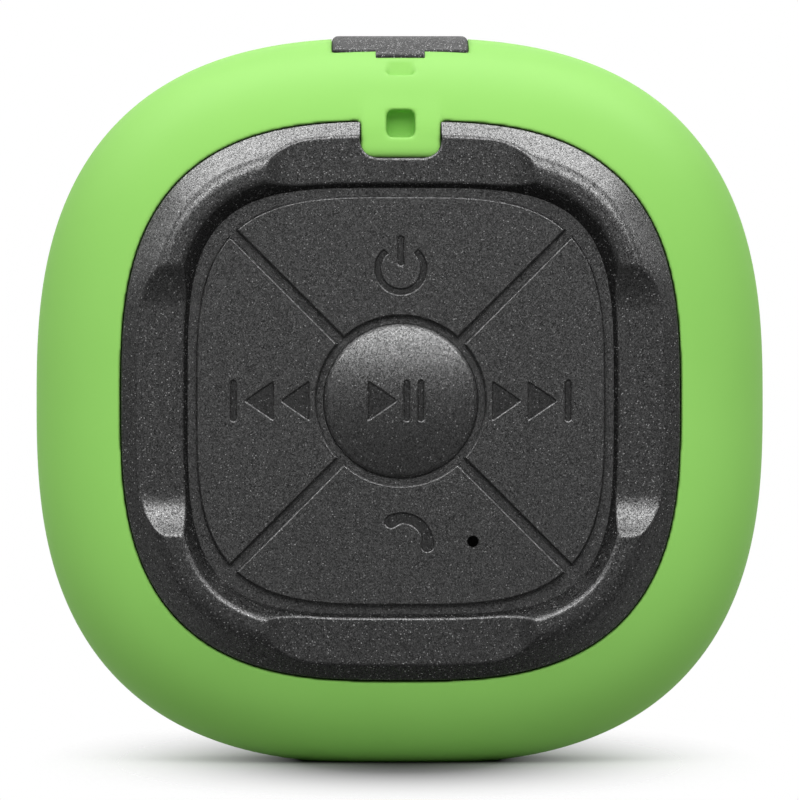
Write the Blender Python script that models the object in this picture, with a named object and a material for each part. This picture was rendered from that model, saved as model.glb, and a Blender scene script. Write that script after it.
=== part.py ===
"""Shower speaker: a rounded-square loudspeaker in a soft sleeve.

Metres, +Z up, X to the right of someone facing the keys, front towards -Y.
The speaker stands on a small flat at the bottom of its sleeve, at z = 0.
Depths below are measured from the middle plane, halfway between front and back.
"""
from math import acos, asin, cos, pi, radians, sin, sqrt

import bmesh
import bpy
from mathutils import Vector

# Outline: rounded squares, r = half / (|cos|^n + |sin|^n)^(1/n).
BODY_SIZE = 0.092
BODY_DEPTH = 0.046
BODY_POWER = 2.68
MOUTH_HALF = 0.03504
MOUTH_POWER = 2.92
BEZEL_WIDTH = 0.00859
KEYPAD_INSET = 0.001
KEYPAD_POWER = 3.52
FOOT_FLAT = 0.0004

# Sleeve.
SIDE_FLAT = 0.0038
SHOULDER_REACH = 0.0185
SLEEVE_WALL = 0.0024
LIP_WALL = 0.0022

# Clearances.
FIT = 0.0003
KEY_GAP = 0.0002
KEY_CATCH = 0.00015

# Bezel, front and rear alike.
PLATEAU_RISE = 0.00217
CREST_RISE = 0.0018
GROOVE_DEPTH = 0.001
OUTER_SLOPE = 0.914
INNER_SLOPE = 1.54
FLOOR_POWER = 3.93
CREST_IN_POWER = 3.73
CREST_OUT_POWER = 3.11
SCOOP_FLAT_SHARE = 0.3225
SCOOP_END_SHARE = 0.4766
BEZEL_FOOT = 0.00143
CLAMP_WIDTH = 0.00285

# Keypad.
MAT_WALL = 0.001
KEY_RISE = 0.0009
KEY_EDGE = 0.00022
KEY_FLANGE_WALL = 0.0006
KEY_TRAVEL = 0.0005
GROOVE_WIDTH = 0.00135
RING_WIDTH = 0.0009
PLAY_SHARE = 0.3788
DOME_RISE = 0.00135
ICON_DEPTH = 0.00035
ICON_STROKE = 0.00075
ARROW_SHARE = 0.163
BAR_SHARE = 0.171
MIC_X = 0.00897
MIC_HOLE = 0.00069

# Key switches, microphone and control board.
SWITCH_INSET = 0.00795
SWITCH_HALF = 0.00225
SWITCH_WALL = 0.0015
PLUNGER_RADIUS = 0.0009
PLUNGER_OUT = 0.0008
PLUNGER_LENGTH = 0.0016
BOARD_WALL = 0.0012
MIC_RADIUS = 0.002
MIC_WALL = 0.0012
BOOT_WALL = 0.0009
RADIO_WALL = 0.0012
RADIO_HALF = 0.004
RADIO_OFFSET = 0.0095
BOARD_SCREW_SHARE = 0.721
BOARD_SCREW_RADIUS = 0.0008

# Lanyard tab and eye.
TAB_HALF = 0.005
TAB_LAP = 0.00474
TAB_FLAT = 0.0027
TAB_ROOT_RISE = 0.00246
TAB_CORNER = 0.002
TAB_WALL = 0.0026
EYE_HALF = 0.00176
EYE_DROP = 0.00244
EYE_HEIGHT = 0.0036
EYE_INSET = 0.00563
EYE_SLOT = 0.0018
EYE_WALL = 0.0007
EYE_BOSS_HALF = 0.003
EYE_POCKET_WALL = 0.0012

# Port cover and port tray.
COVER_HALF = 0.0086
COVER_GAP = 0.0019
COVER_REAR = 0.0014
COVER_PROUD = 0.00025
COVER_CORNER = 0.001
COVER_EDGE = 0.00056
FINGER_HALF = 0.00305
FINGER_REACH = 0.0008
TETHER_HALF = 0.003
TETHER_LENGTH = 0.003
TRAY_HEIGHT = 0.0063
TRAY_EAR = 0.0018
TRAY_EAR_WALL = 0.0012
SOCKET_X = 0.0045
USB_WIDTH = 0.0076
USB_DEPTH = 0.0028
USB_WALL = 0.0004
AUX_RADIUS = 0.003
AUX_BORE = 0.0018
SOCKET_SINK = 0.0004
SOCKET_MOUTH = 0.0045

# Housing.
HOUSING_WALL = 0.002
SPLIT_DEPTH = 0.005
SEAL_WALL = 0.0008
CELL_HALF_X = 0.0155
CELL_HALF_Z = 0.021
CELL_WALL = 0.0046
BULKHEAD_WALL = 0.0015
POST_RADIUS = 0.0028
SCREW_RADIUS = 0.0011
SCREW_HEAD_RADIUS = 0.0021
SCREW_HEAD_WALL = 0.0014

# Loudspeaker, facing the rear.
BAFFLE_SINK = 0.0039
BAFFLE_WALL = 0.002
BASKET_INSET = 0.0032
FLANGE_WALL = 0.0011
GASKET_WALL = 0.0005
GASKET_WIDTH = 0.0013
SURROUND_LAND = 0.0007
SURROUND_WALL = 0.0004
ROLL_WIDTH = 0.0046
CONE_WALL = 0.0005
CAP_RISE = 0.0024
LEAD_RADIUS = 0.0006
LEAD_HOLE = 0.001
LEAD_STEP = 0.0026
COIL_RADIUS = 0.0086
COIL_WALL = 0.0004
COIL_PLAY = 0.0006
PLATE_WALL = 0.0025
PLATE_RADIUS = 0.0155
MAGNET_WALL = 0.005
MAGNET_RADIUS = 0.018
YOKE_RADIUS = 0.016
NECK_HEIGHT = 0.0046
DRIVER_SCREW_RADIUS = 0.00085
DRIVER_HEAD_RADIUS = 0.0018
DRIVER_HEAD_WALL = 0.0011
MESH_WALL = 0.0003
GRILLE_WALL = 0.001
GRILLE_PITCH = 0.0054
GRILLE_HOLE = 0.0017
GRILLE_RINGS = 4

HALF = BODY_SIZE / 2
CENTRE_Z = HALF - FOOT_FLAT
LIP_DEPTH = BODY_DEPTH / 2 - CREST_RISE - PLATEAU_RISE

# Half-widths from the mouth inwards, and what hangs on them.
FLOOR_HALF = MOUTH_HALF - BEZEL_WIDTH
KEYPAD_HALF = FLOOR_HALF - KEYPAD_INSET
SCOOP_FLAT = MOUTH_HALF * SCOOP_FLAT_SHARE
SCOOP_END = MOUTH_HALF * SCOOP_END_SHARE
PLAY_RADIUS = KEYPAD_HALF * PLAY_SHARE
RING_RADIUS = PLAY_RADIUS + RING_WIDTH
KEY_LENGTH = KEYPAD_HALF - RING_RADIUS
SWITCH_OFFSET = KEYPAD_HALF - SWITCH_INSET
MIC_Z = -SWITCH_OFFSET
TAB_END = MOUTH_HALF - TAB_LAP
TAB_BEND = TAB_END + TAB_FLAT
TAB_ROOT = MOUTH_HALF + TAB_ROOT_RISE
EYE_LOW = MOUTH_HALF - EYE_DROP
EYE_HIGH = EYE_LOW + EYE_HEIGHT
EYE_BACK = LIP_DEPTH - EYE_INSET
COVER_FRONT = EYE_BACK - COVER_GAP
SOCKET_Y = (COVER_REAR - COVER_FRONT) / 2

# Depths of the front, from the crests inwards (negative is towards the front).
LIP_Y = -LIP_DEPTH
PLATEAU_Y = LIP_Y - PLATEAU_RISE
CREST_Y = PLATEAU_Y - CREST_RISE
MAT_Y = PLATEAU_Y + GROOVE_DEPTH
MAT_BACK_Y = MAT_Y + MAT_WALL
KEY_Y = MAT_Y - KEY_RISE
FLANGE_Y = MAT_BACK_Y + FIT
KEY_BACK_Y = FLANGE_Y + KEY_FLANGE_WALL
PLUNGER_Y = KEY_BACK_Y + FIT
SWITCH_Y = PLUNGER_Y + PLUNGER_OUT
SWITCH_BACK_Y = SWITCH_Y + SWITCH_WALL
BOARD_Y = SWITCH_BACK_Y + FIT
BOARD_BACK_Y = BOARD_Y + BOARD_WALL
BULKHEAD_Y = BOARD_BACK_Y + FIT
BULKHEAD_BACK_Y = BULKHEAD_Y + BULKHEAD_WALL
LEDGE_Y = MAT_BACK_Y + FIT
BEZEL_BACK_Y = LIP_Y + BEZEL_FOOT
SEAT_Y = BEZEL_BACK_Y + FIT
CELL_Y = BULKHEAD_BACK_Y + FIT
CELL_BACK_Y = CELL_Y + CELL_WALL

# Depths of the loudspeaker, from the yoke to the grille.
YOKE_Y = CELL_BACK_Y + FIT
YOKE_TOP_Y = YOKE_Y + PLATE_WALL
MAGNET_Y = YOKE_TOP_Y + FIT
MAGNET_TOP_Y = MAGNET_Y + MAGNET_WALL
PLATE_Y = MAGNET_TOP_Y + FIT
PLATE_TOP_Y = PLATE_Y + PLATE_WALL
BASKET_Y = PLATE_TOP_Y + FIT
NECK_Y = BASKET_Y + NECK_HEIGHT
GRILLE_TOP_Y = -MAT_Y
GRILLE_Y = GRILLE_TOP_Y - GRILLE_WALL
MESH_TOP_Y = GRILLE_Y - FIT
REAR_LEDGE_Y = MESH_TOP_Y - MESH_WALL - FIT
BAFFLE_Y = REAR_LEDGE_Y - BAFFLE_SINK
BAFFLE_FRONT_Y = BAFFLE_Y - BAFFLE_WALL
GASKET_Y = BAFFLE_Y + FIT
FLANGE_LOW_Y = GASKET_Y + GASKET_WALL + FIT
FLANGE_TOP_Y = FLANGE_LOW_Y + FLANGE_WALL

# Half-widths of the fitted pieces.
CLAMP_HALF = FLOOR_HALF + CLAMP_WIDTH
BEZEL_HALF = MOUTH_HALF - FIT
RECESS_HALF = FLOOR_HALF - FIT / 6
BOARD_HALF = RECESS_HALF - 2 * FIT
BOARD_SCREW_OFFSET = BOARD_HALF * BOARD_SCREW_SHARE
BASKET_RADIUS = RECESS_HALF - BASKET_INSET
SURROUND_OUTER = BASKET_RADIUS + SURROUND_LAND
CONE_RADIUS = SURROUND_OUTER - ROLL_WIDTH
GASKET_INNER = BASKET_RADIUS + 2 * FIT
GASKET_OUTER = GASKET_INNER + GASKET_WIDTH
SPLIT_FRONT_Y = SPLIT_DEPTH - SEAL_WALL / 2 - FIT
SPLIT_REAR_Y = SPLIT_DEPTH + SEAL_WALL / 2 + FIT

HOUSING_HALF = HALF - SLEEVE_WALL - FIT


def clear_scene():
    for old in list(bpy.data.objects):
        bpy.data.objects.remove(old, do_unlink=True)


def make_material(name, colour, roughness, metallic=0.0):
    material = bpy.data.materials.new(name)
    material.use_nodes = True
    shader = material.node_tree.nodes["Principled BSDF"]
    shader.inputs["Base Color"].default_value = (*colour, 1.0)
    shader.inputs["Roughness"].default_value = roughness
    shader.inputs["Metallic"].default_value = metallic
    return material


def outline_power(half):
    """How square an outline of this half-width is: squarer towards the keypad."""
    steps = ((KEYPAD_HALF, KEYPAD_POWER), (MOUTH_HALF, MOUTH_POWER), (HALF, BODY_POWER))
    for (low, p_low), (high, p_high) in zip(steps, steps[1:]):
        if half <= high:
            return p_low + (p_high - p_low) * (half - low) / (high - low)
    return BODY_POWER


def reach(half, power, angle):
    return half / (abs(cos(angle)) ** power + abs(sin(angle)) ** power) ** (1 / power)


def loop(half, depth, power=None, steps=48, centre=(0.0, 0.0)):
    """A rounded-square (power 2: round) loop of points at one depth."""
    power = power or outline_power(half)
    points = []
    for i in range(steps):
        angle = 2 * pi * i / steps
        radius = reach(half, power, angle)
        points.append((centre[0] + radius * cos(angle), depth, centre[1] + radius * sin(angle)))
    return points


def shell_loop(half, depth):
    """A coarser loop for the hidden shells."""
    return loop(half, depth, None, 48)


def circle(radius, depth, steps=24, centre=(0.0, 0.0)):
    return loop(radius, depth, 2.0, steps, centre)


def loft(mesh, loops, closed=False):
    """Skin between loops; a closed loft is a ring, an open one gets two caps."""
    rows = [[mesh.verts.new(point) for point in points] for points in loops]
    pairs = list(zip(rows, rows[1:]))
    if closed:
        pairs.append((rows[-1], rows[0]))
    for low, high in pairs:
        for i in range(len(low)):
            mesh.faces.new((low[i - 1], low[i], high[i], high[i - 1]))
    if not closed:
        mesh.faces.new(rows[0])
        mesh.faces.new(rows[-1])


def round_edges(mesh, edges, radius, segments=3):
    """Round some edges of a closed mesh."""
    bmesh.ops.recalc_face_normals(mesh, faces=mesh.faces[:])
    bmesh.ops.bevel(
        mesh, geom=edges, offset=radius, segments=segments, profile=0.5, affect="EDGES"
    )


def prism(mesh, points, low, high, axis):
    """A flat outline drawn out along an axis; the points are the other two coordinates."""
    place = {
        "X": lambda p, h: (h, p[0], p[1]),
        "Y": lambda p, h: (p[0], h, p[1]),
        "Z": lambda p, h: (p[0], p[1], h),
    }[axis]
    loft(mesh, [[place(p, low) for p in points], [place(p, high) for p in points]])


def box_outline(x_low, x_high, y_low, y_high):
    return [(x_low, y_low), (x_high, y_low), (x_high, y_high), (x_low, y_high)]


def block(mesh, xs, ys, zs):
    prism(mesh, box_outline(xs[0], xs[1], ys[0], ys[1]), zs[0], zs[1], "Z")


def rounded_outline(x_half, y_low, y_high, corner, steps=3):
    points = []
    for cx, cy, start in (
        (x_half, y_high, 0), (-x_half, y_high, 1), (-x_half, y_low, 2), (x_half, y_low, 3),
    ):
        sx = -1 if cx > 0 else 1
        sy = -1 if cy == y_high else 1
        for i in range(steps + 1):
            angle = (start + i / steps) * pi / 2
            points.append((
                cx + sx * corner + corner * cos(angle),
                cy + sy * corner + corner * sin(angle),
            ))
    return points


def add(name, mesh, material=None, origin=(0.0, 0.0, 0.0), parent=None):
    """Make an object of a mesh; without a material it is a cutter or a joined shape."""
    bmesh.ops.recalc_face_normals(mesh, faces=mesh.faces[:])
    bmesh.ops.translate(mesh, verts=mesh.verts[:], vec=-Vector(origin))
    data = bpy.data.meshes.new(name)
    mesh.to_mesh(data)
    mesh.free()
    part = bpy.data.objects.new(name, data)
    bpy.context.scene.collection.objects.link(part)
    part.parent = parent or CENTRE
    part.location = origin
    if material:
        data.materials.append(material)
        data.shade_smooth()
        data.set_sharp_from_angle(angle=radians(32))
    else:
        part.hide_render = True
        part.display_type = "WIRE"
    return part


def combine(part, tool, operation):
    change = part.modifiers.new(tool.name, "BOOLEAN")
    change.operation = operation
    change.object = tool
    change.solver = "EXACT"


def ring(name, loops, material):
    mesh = bmesh.new()
    loft(mesh, loops, closed=True)
    return add(name, mesh, material)


def solid(name, loops, material, origin=(0.0, 0.0, 0.0)):
    mesh = bmesh.new()
    loft(mesh, loops)
    return add(name, mesh, material, origin)


class Shoulder:
    """The side of a shell: flat in the middle, then a quarter ellipse to its mouth."""

    def __init__(self, equator, mouth, mouth_depth, shoulder_reach):
        self.equator = equator
        self.reach = shoulder_reach
        self.turn = acos(1 - (equator - mouth) / shoulder_reach)
        self.run = (mouth_depth - SIDE_FLAT) / sin(self.turn)

    def at(self, turn):
        return (
            self.equator - self.reach * (1 - cos(turn)),
            SIDE_FLAT + self.run * sin(turn),
        )

    def half(self, depth):
        past = max(abs(depth) - SIDE_FLAT, 0.0) / self.run
        return self.equator - self.reach * (1 - sqrt(1 - past * past))


def ring_middle(inner, outer):
    """How far along x and z a spot halfway between two outlines lies on the diagonal."""
    diagonal = pi / 4
    near = reach(inner, outline_power(inner), diagonal)
    far = reach(outer, outline_power(outer), diagonal)
    return (near + far) / 2 * cos(diagonal)


POST_OFFSET = ring_middle(CLAMP_HALF, BEZEL_HALF)
DRIVER_SCREW_OFFSET = (
    (GASKET_OUTER + reach(BOARD_HALF, outline_power(BOARD_HALF), pi / 4)) / 2 * cos(pi / 4)
)
SLEEVE_OUT = Shoulder(HALF, MOUTH_HALF, LIP_DEPTH, SHOULDER_REACH)
SLEEVE_IN = Shoulder(
    HALF - SLEEVE_WALL, MOUTH_HALF, LIP_DEPTH - LIP_WALL, SHOULDER_REACH - SLEEVE_WALL
)
HOUSING_OUT = Shoulder(
    HOUSING_HALF, BEZEL_HALF, LIP_DEPTH - LIP_WALL - FIT, SHOULDER_REACH - SLEEVE_WALL - FIT
)
HOUSING_IN = Shoulder(
    HOUSING_HALF - HOUSING_WALL, BEZEL_HALF, LIP_DEPTH - LIP_WALL - FIT - HOUSING_WALL,
    SHOULDER_REACH - SLEEVE_WALL - FIT - HOUSING_WALL,
)

# Heights on top of the body, from its centre: the cover's front edge sets the rest.
COVER_TOP_Z = HALF + COVER_PROUD
COVER_Z = SLEEVE_OUT.half(COVER_FRONT) + COVER_PROUD - COVER_EDGE
HINGE_Y = COVER_REAR + FIT / 2
TRAY_Z = COVER_Z - FIT
SOCKET_Z = TRAY_Z - TRAY_HEIGHT
PORT_BOARD_Z = SOCKET_Z - FIT

clear_scene()
CENTRE = bpy.data.objects.new("body_centre", None)
bpy.context.scene.collection.objects.link(CENTRE)
CENTRE.location = (0.0, 0.0, CENTRE_Z)

GREEN = make_material("green_silicone", (0.26, 0.58, 0.12), 0.55)
BLACK = make_material("black_speckled_plastic", (0.045, 0.045, 0.047), 0.5)
RUBBER = make_material("dark_rubber", (0.055, 0.055, 0.058), 0.6)
SHELL = make_material("black_shell", (0.03, 0.03, 0.032), 0.5)
SEAL = make_material("seal_rubber", (0.02, 0.02, 0.02), 0.7)
BOARD = make_material("board_green", (0.02, 0.12, 0.06), 0.45)
STEEL = make_material("plated_steel", (0.6, 0.6, 0.6), 0.35, 1.0)
FERRITE = make_material("ferrite", (0.06, 0.06, 0.065), 0.6)
PAPER = make_material("cone_paper", (0.05, 0.05, 0.05), 0.8)
COPPER = make_material("coil_copper", (0.7, 0.32, 0.16), 0.35, 1.0)
FILM = make_material("cell_film", (0.45, 0.47, 0.5), 0.35)
CLOTH = make_material("black_mesh", (0.03, 0.03, 0.03), 0.85)
GRILLE = make_material("grille_steel", (0.05, 0.05, 0.052), 0.45, 1.0)


def sleeve_loops():
    """Outer skin from the front lip to the rear lip, then the inner skin back again."""
    foot = acos(1 - FOOT_FLAT / SHOULDER_REACH)
    turns = [SLEEVE_OUT.turn + (foot - SLEEVE_OUT.turn) * i / 4 for i in range(5)] + [0.0]
    outer = [SLEEVE_OUT.at(turn) for turn in turns]
    inner = [SLEEVE_IN.at(SLEEVE_IN.turn * i / 3) for i in range(4)]
    loops = [loop(half, -depth) for half, depth in outer]
    loops += [loop(half, depth) for half, depth in reversed(outer)]
    loops += [loop(half, depth) for half, depth in reversed(inner)]
    loops += [loop(half, -depth) for half, depth in inner]
    return [[(x, y, max(z, -CENTRE_Z)) for x, y, z in points] for points in loops]


def bezel_loops(side):
    """Foot, outer chamfer, crest, inner slope and the lip that clamps the mat or grille."""
    crest = -CREST_Y
    foot = -BEZEL_BACK_Y
    chamfer_low = LIP_DEPTH + FIT * OUTER_SLOPE
    crest_out = MOUTH_HALF - (crest - LIP_DEPTH) / OUTER_SLOPE
    crest_in = FLOOR_HALF + (crest + MAT_Y) / INNER_SLOPE
    lip_back = -MAT_Y + FIT
    lip_half = FLOOR_HALF + FIT / INNER_SLOPE
    rows = (
        (BEZEL_HALF, foot, None),
        (BEZEL_HALF, chamfer_low, None),
        (crest_out, crest, CREST_OUT_POWER),
        (crest_in, crest, CREST_IN_POWER),
        (lip_half, lip_back, FLOOR_POWER),
        (CLAMP_HALF + FIT, lip_back, None),
        (CLAMP_HALF + FIT, foot, None),
    )
    return [loop(half, side * depth, power, 56) for half, depth, power in rows]


def scoop_outline(side):
    """A flat floor with rounded ends that rise to the crest."""
    run = SCOOP_END - SCOOP_FLAT
    radius = (run * run + CREST_RISE * CREST_RISE) / (2 * CREST_RISE)
    sweep = asin(run / radius)
    right = []
    for i in range(5):
        turn = sweep * i / 4
        right.append((SCOOP_FLAT + radius * sin(turn), -PLATEAU_Y + radius * (1 - cos(turn))))
    right.append((SCOOP_END + CREST_RISE, -CREST_Y + 2 * CREST_RISE))
    points = right + [(-x, depth) for x, depth in reversed(right)]
    return [(x, side * depth) for x, depth in points]


def add_scoops(bezel, side):
    for axis in ("Z", "X"):
        mesh = bmesh.new()
        points = scoop_outline(side)
        if axis == "X":
            points = [(depth, along) for along, depth in points]
        prism(mesh, points, -HALF, HALF, axis)
        combine(bezel, add(f"{bezel.name}_scoop_{axis.lower()}", mesh), "DIFFERENCE")


def quadrant_outline(direction, grow):
    """A quarter key: an outer rounded-square arc, two groove edges and an inner arc."""
    inner = RING_RADIUS - grow
    half = KEYPAD_HALF + grow
    edge = GROOVE_WIDTH / 2 - grow
    inner_turn = pi / 4 - asin(edge / inner)
    outer_turn = pi / 4
    for _ in range(12):
        outer_turn = pi / 4 - asin(edge / reach(half, KEYPAD_POWER, outer_turn))
    points = []
    for i in range(13):
        angle = outer_turn * (i / 6 - 1)
        radius = reach(half, KEYPAD_POWER, angle)
        points.append((radius * cos(angle), radius * sin(angle)))
    for i in range(7):
        angle = inner_turn * (1 - i / 3)
        points.append((inner * cos(angle), inner * sin(angle)))
    turn = direction * pi / 2
    return [(x * cos(turn) - z * sin(turn), x * sin(turn) + z * cos(turn)) for x, z in points]


def arc_band(centre, inner, outer, start, end, steps):
    angles = [radians(start + (end - start) * i / steps) for i in range(steps + 1)]
    points = [(centre[0] + outer * cos(a), centre[1] + outer * sin(a)) for a in angles]
    points += [(centre[0] + inner * cos(a), centre[1] + inner * sin(a)) for a in reversed(angles)]
    return points


def bar(x, half_height, width=ICON_STROKE, z=0.0):
    return box_outline(x - width / 2, x + width / 2, z - half_height, z + half_height)


def skip_icon(side):
    """Two arrowheads and a bar, pointing outwards, in shares of the key's length."""
    height = ARROW_SHARE * KEY_LENGTH
    shapes = []
    for base, tip in ((0.058, 0.292), (0.354, 0.592)):
        near = side * (RING_RADIUS + base * KEY_LENGTH)
        far = side * (RING_RADIUS + tip * KEY_LENGTH)
        shapes.append([(near, -height), (far, 0.0), (near, height)])
    shapes.append(bar(side * (RING_RADIUS + 0.688 * KEY_LENGTH), BAR_SHARE * KEY_LENGTH))
    return shapes


def power_icon():
    centre = (0.0, RING_RADIUS + 0.393 * KEY_LENGTH)
    middle = 0.192 * KEY_LENGTH
    half = ICON_STROKE / 2
    return [
        arc_band(centre, middle - half, middle + half, 131, 409, 12),
        bar(0.0, 0.124 * KEY_LENGTH, z=RING_RADIUS + 0.544 * KEY_LENGTH),
    ]


def call_icon():
    """A handset: a thick arc whose two ends reach inwards."""
    centre = (FIT, -RING_RADIUS - 0.4735 * KEY_LENGTH)
    points = arc_band(centre, 0.1643 * KEY_LENGTH, 0.2448 * KEY_LENGTH, -8, 121, 8)
    end = 0.1274 * KEY_LENGTH
    for index, turn in ((9, 121), (17, -8)):
        angle = radians(turn)
        points[index] = (centre[0] + end * cos(angle), centre[1] + end * sin(angle))
    return [points]


def play_icon():
    height = ARROW_SHARE * KEY_LENGTH
    base = -0.418 * PLAY_RADIUS
    return [
        [(base, -height), (-0.051 * PLAY_RADIUS, 0.0), (base, height)],
        bar(0.076 * PLAY_RADIUS, BAR_SHARE * KEY_LENGTH),
        bar(0.259 * PLAY_RADIUS, BAR_SHARE * KEY_LENGTH),
    ]


def add_icon(key, shapes, top, depth):
    mesh = bmesh.new()
    for points in shapes:
        prism(mesh, points, top - 0.0006, top + depth, "Y")
    combine(key, add(f"{key.name}_icon", mesh), "DIFFERENCE")


def add_quadrant_key(name, direction, shapes):
    mesh = bmesh.new()
    rows = (
        (-KEY_EDGE, KEY_Y),
        (0.0, KEY_Y + KEY_EDGE),
        (0.0, FLANGE_Y),
        (KEY_GAP + KEY_CATCH, FLANGE_Y),
        (KEY_GAP + KEY_CATCH, KEY_BACK_Y),
    )
    loft(mesh, [[(x, y, z) for x, z in quadrant_outline(direction, grow)] for grow, y in rows])
    middle = SWITCH_OFFSET * Vector((cos(direction * pi / 2), 0.0, sin(direction * pi / 2)))
    key = add(name, mesh, BLACK, (middle.x, KEY_Y, middle.z))
    add_icon(key, shapes, KEY_Y, ICON_DEPTH)
    return key


def add_play_key():
    edge_y = MAT_Y - KEY_EDGE
    apex_y = edge_y - KEY_EDGE - DOME_RISE
    radius = (PLAY_RADIUS ** 2 + DOME_RISE ** 2) / (2 * DOME_RISE)
    loops = []
    for i in range(1, 6):
        r = (PLAY_RADIUS - KEY_EDGE) * i / 5
        loops.append(circle(r, apex_y + radius - sqrt(radius ** 2 - r ** 2), 28))
    flange = PLAY_RADIUS + KEY_GAP + KEY_CATCH
    loops += [
        circle(PLAY_RADIUS, edge_y, 28),
        circle(PLAY_RADIUS, FLANGE_Y, 28),
        circle(flange, FLANGE_Y, 28),
        circle(flange, KEY_BACK_Y, 28),
    ]
    key = solid("play_key", loops, BLACK, (0.0, edge_y, 0.0))
    add_icon(key, play_icon(), apex_y, ICON_DEPTH + 0.0002)
    return key


def add_switch(name, x, z):
    centre = (x, z)
    bore = PLUNGER_RADIUS + FIT
    ring(f"{name}_switch", [
        loop(SWITCH_HALF, SWITCH_Y, 8.0, 8, centre),
        loop(SWITCH_HALF, SWITCH_BACK_Y, 8.0, 8, centre),
        circle(bore, SWITCH_BACK_Y, 8, centre),
        circle(bore, SWITCH_Y, 8, centre),
    ], SHELL)
    solid(f"{name}_plunger", [
        circle(PLUNGER_RADIUS, PLUNGER_Y, 8, centre),
        circle(PLUNGER_RADIUS, PLUNGER_Y + PLUNGER_LENGTH, 8, centre),
    ], RUBBER, (x, PLUNGER_Y, z))


def add_screw(name, x, z, head_y, head_wall, head_radius, tip_y, radius):
    """A round head at head_y and a plain shank that ends in a small point."""
    way = 1 if tip_y > head_y else -1
    centre = (x, z)
    solid(name, [
        circle(head_radius * 0.8, head_y, 8, centre),
        circle(head_radius, head_y + way * head_wall, 8, centre),
        circle(radius, head_y + way * head_wall, 8, centre),
        circle(radius, tip_y - way * radius, 8, centre),
        circle(radius * 0.4, tip_y, 8, centre),
    ], STEEL)


def aux_ring(radius):
    return [
        (SOCKET_X + radius * cos(2 * pi * i / 20), SOCKET_Y + radius * sin(2 * pi * i / 20))
        for i in range(20)
    ]


def corners(offset):
    return [(offset, offset), (-offset, offset), (-offset, -offset), (offset, -offset)]


def tube(name, path, radius, material, steps=8):
    """A round lead along a path; each loop lies across the path's direction there."""
    path = [Vector(point) for point in path]
    loops = []
    for i, point in enumerate(path):
        before = path[max(i - 1, 0)]
        after = path[min(i + 1, len(path) - 1)]
        along = (after - before).normalized()
        across = along.cross(Vector((1.0, 0.2, 0.1))).normalized()
        up = along.cross(across)
        loops.append([
            tuple(point + radius * (cos(2 * pi * k / steps) * across + sin(2 * pi * k / steps) * up))
            for k in range(steps)
        ])
    solid(name, loops, material)


# Sleeve, with the lanyard tab, the boss around the eye, the eye itself and the port opening.
sleeve = ring("silicone_sleeve", sleeve_loops(), GREEN)
tab = bmesh.new()
tab_back = PLATEAU_Y + TAB_WALL
root_y = -SLEEVE_OUT.at(acos(1 - (HALF - TAB_ROOT) / SHOULDER_REACH))[1]
prism(tab, [
    (root_y + FIT, TAB_ROOT),
    (PLATEAU_Y, TAB_BEND),
    (PLATEAU_Y, TAB_END),
    (tab_back, TAB_END),
    (tab_back, TAB_BEND),
    (root_y + 2 * FIT, MOUTH_HALF + 3 * FIT),
], -TAB_HALF, TAB_HALF, "X")
tab_corners = [
    edge for edge in tab.edges
    if abs(edge.verts[0].co.x - edge.verts[1].co.x) < 1e-6
    and all(abs(v.co.z - TAB_END) < 1e-6 for v in edge.verts)
]
round_edges(tab, tab_corners, TAB_CORNER)
combine(sleeve, add("sleeve_tab", tab), "UNION")
boss = bmesh.new()
boss_back = -EYE_BACK + EYE_WALL
boss_front = LIP_Y + FIT
boss_points = [(boss_front, EYE_LOW - 4 * FIT), (boss_back, EYE_LOW - 4 * FIT)]
for i in range(6):
    y = boss_back + (boss_front - boss_back) * i / 5
    boss_points.append((y, SLEEVE_OUT.half(y) - 2 * FIT))
prism(boss, boss_points, -EYE_BOSS_HALF, EYE_BOSS_HALF, "X")
combine(sleeve, add("sleeve_eye_boss", boss), "UNION")
eye = bmesh.new()
prism(eye, [
    (CREST_Y - FIT, EYE_LOW),
    (CREST_Y - FIT, EYE_HIGH),
    (-EYE_BACK - EYE_SLOT, EYE_HIGH),
    (-EYE_BACK - EYE_SLOT, HALF + FIT),
    (-EYE_BACK, HALF + FIT),
    (-EYE_BACK, EYE_HIGH - 0.001),
    (-EYE_BACK - 0.0026, EYE_LOW),
], -EYE_HALF, EYE_HALF, "X")
combine(sleeve, add("sleeve_eye", eye), "DIFFERENCE")
opening = bmesh.new()
open_front = -COVER_FRONT - FIT
open_rear = COVER_REAR + FIT
open_half = COVER_HALF + FIT
tongue_half = TETHER_HALF + FIT
tongue_rear = COVER_REAR + FIT + TETHER_LENGTH + FIT
prism(opening, [
    (open_half - COVER_CORNER, open_front), (open_half, open_front + COVER_CORNER),
    (open_half, open_rear), (tongue_half, open_rear), (tongue_half, tongue_rear),
    (-tongue_half, tongue_rear), (-tongue_half, open_rear), (-open_half, open_rear),
    (-open_half, open_front + COVER_CORNER), (-open_half + COVER_CORNER, open_front),
], HALF - 3 * SLEEVE_WALL, HALF + SLEEVE_WALL, "Z")
combine(sleeve, add("sleeve_port_opening", opening), "DIFFERENCE")

# Front bezel: four scoops and the notch that takes the lanyard tab.
front_bezel = ring("front_bezel", bezel_loops(-1), BLACK)
add_scoops(front_bezel, -1)
notch = bmesh.new()
prism(
    notch,
    rounded_outline(TAB_HALF + FIT, TAB_END - FIT, HALF, TAB_CORNER + FIT),
    CREST_Y - 0.002, BEZEL_BACK_Y + 0.002, "Y",
)
combine(front_bezel, add("bezel_tab_notch", notch), "DIFFERENCE")

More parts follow.
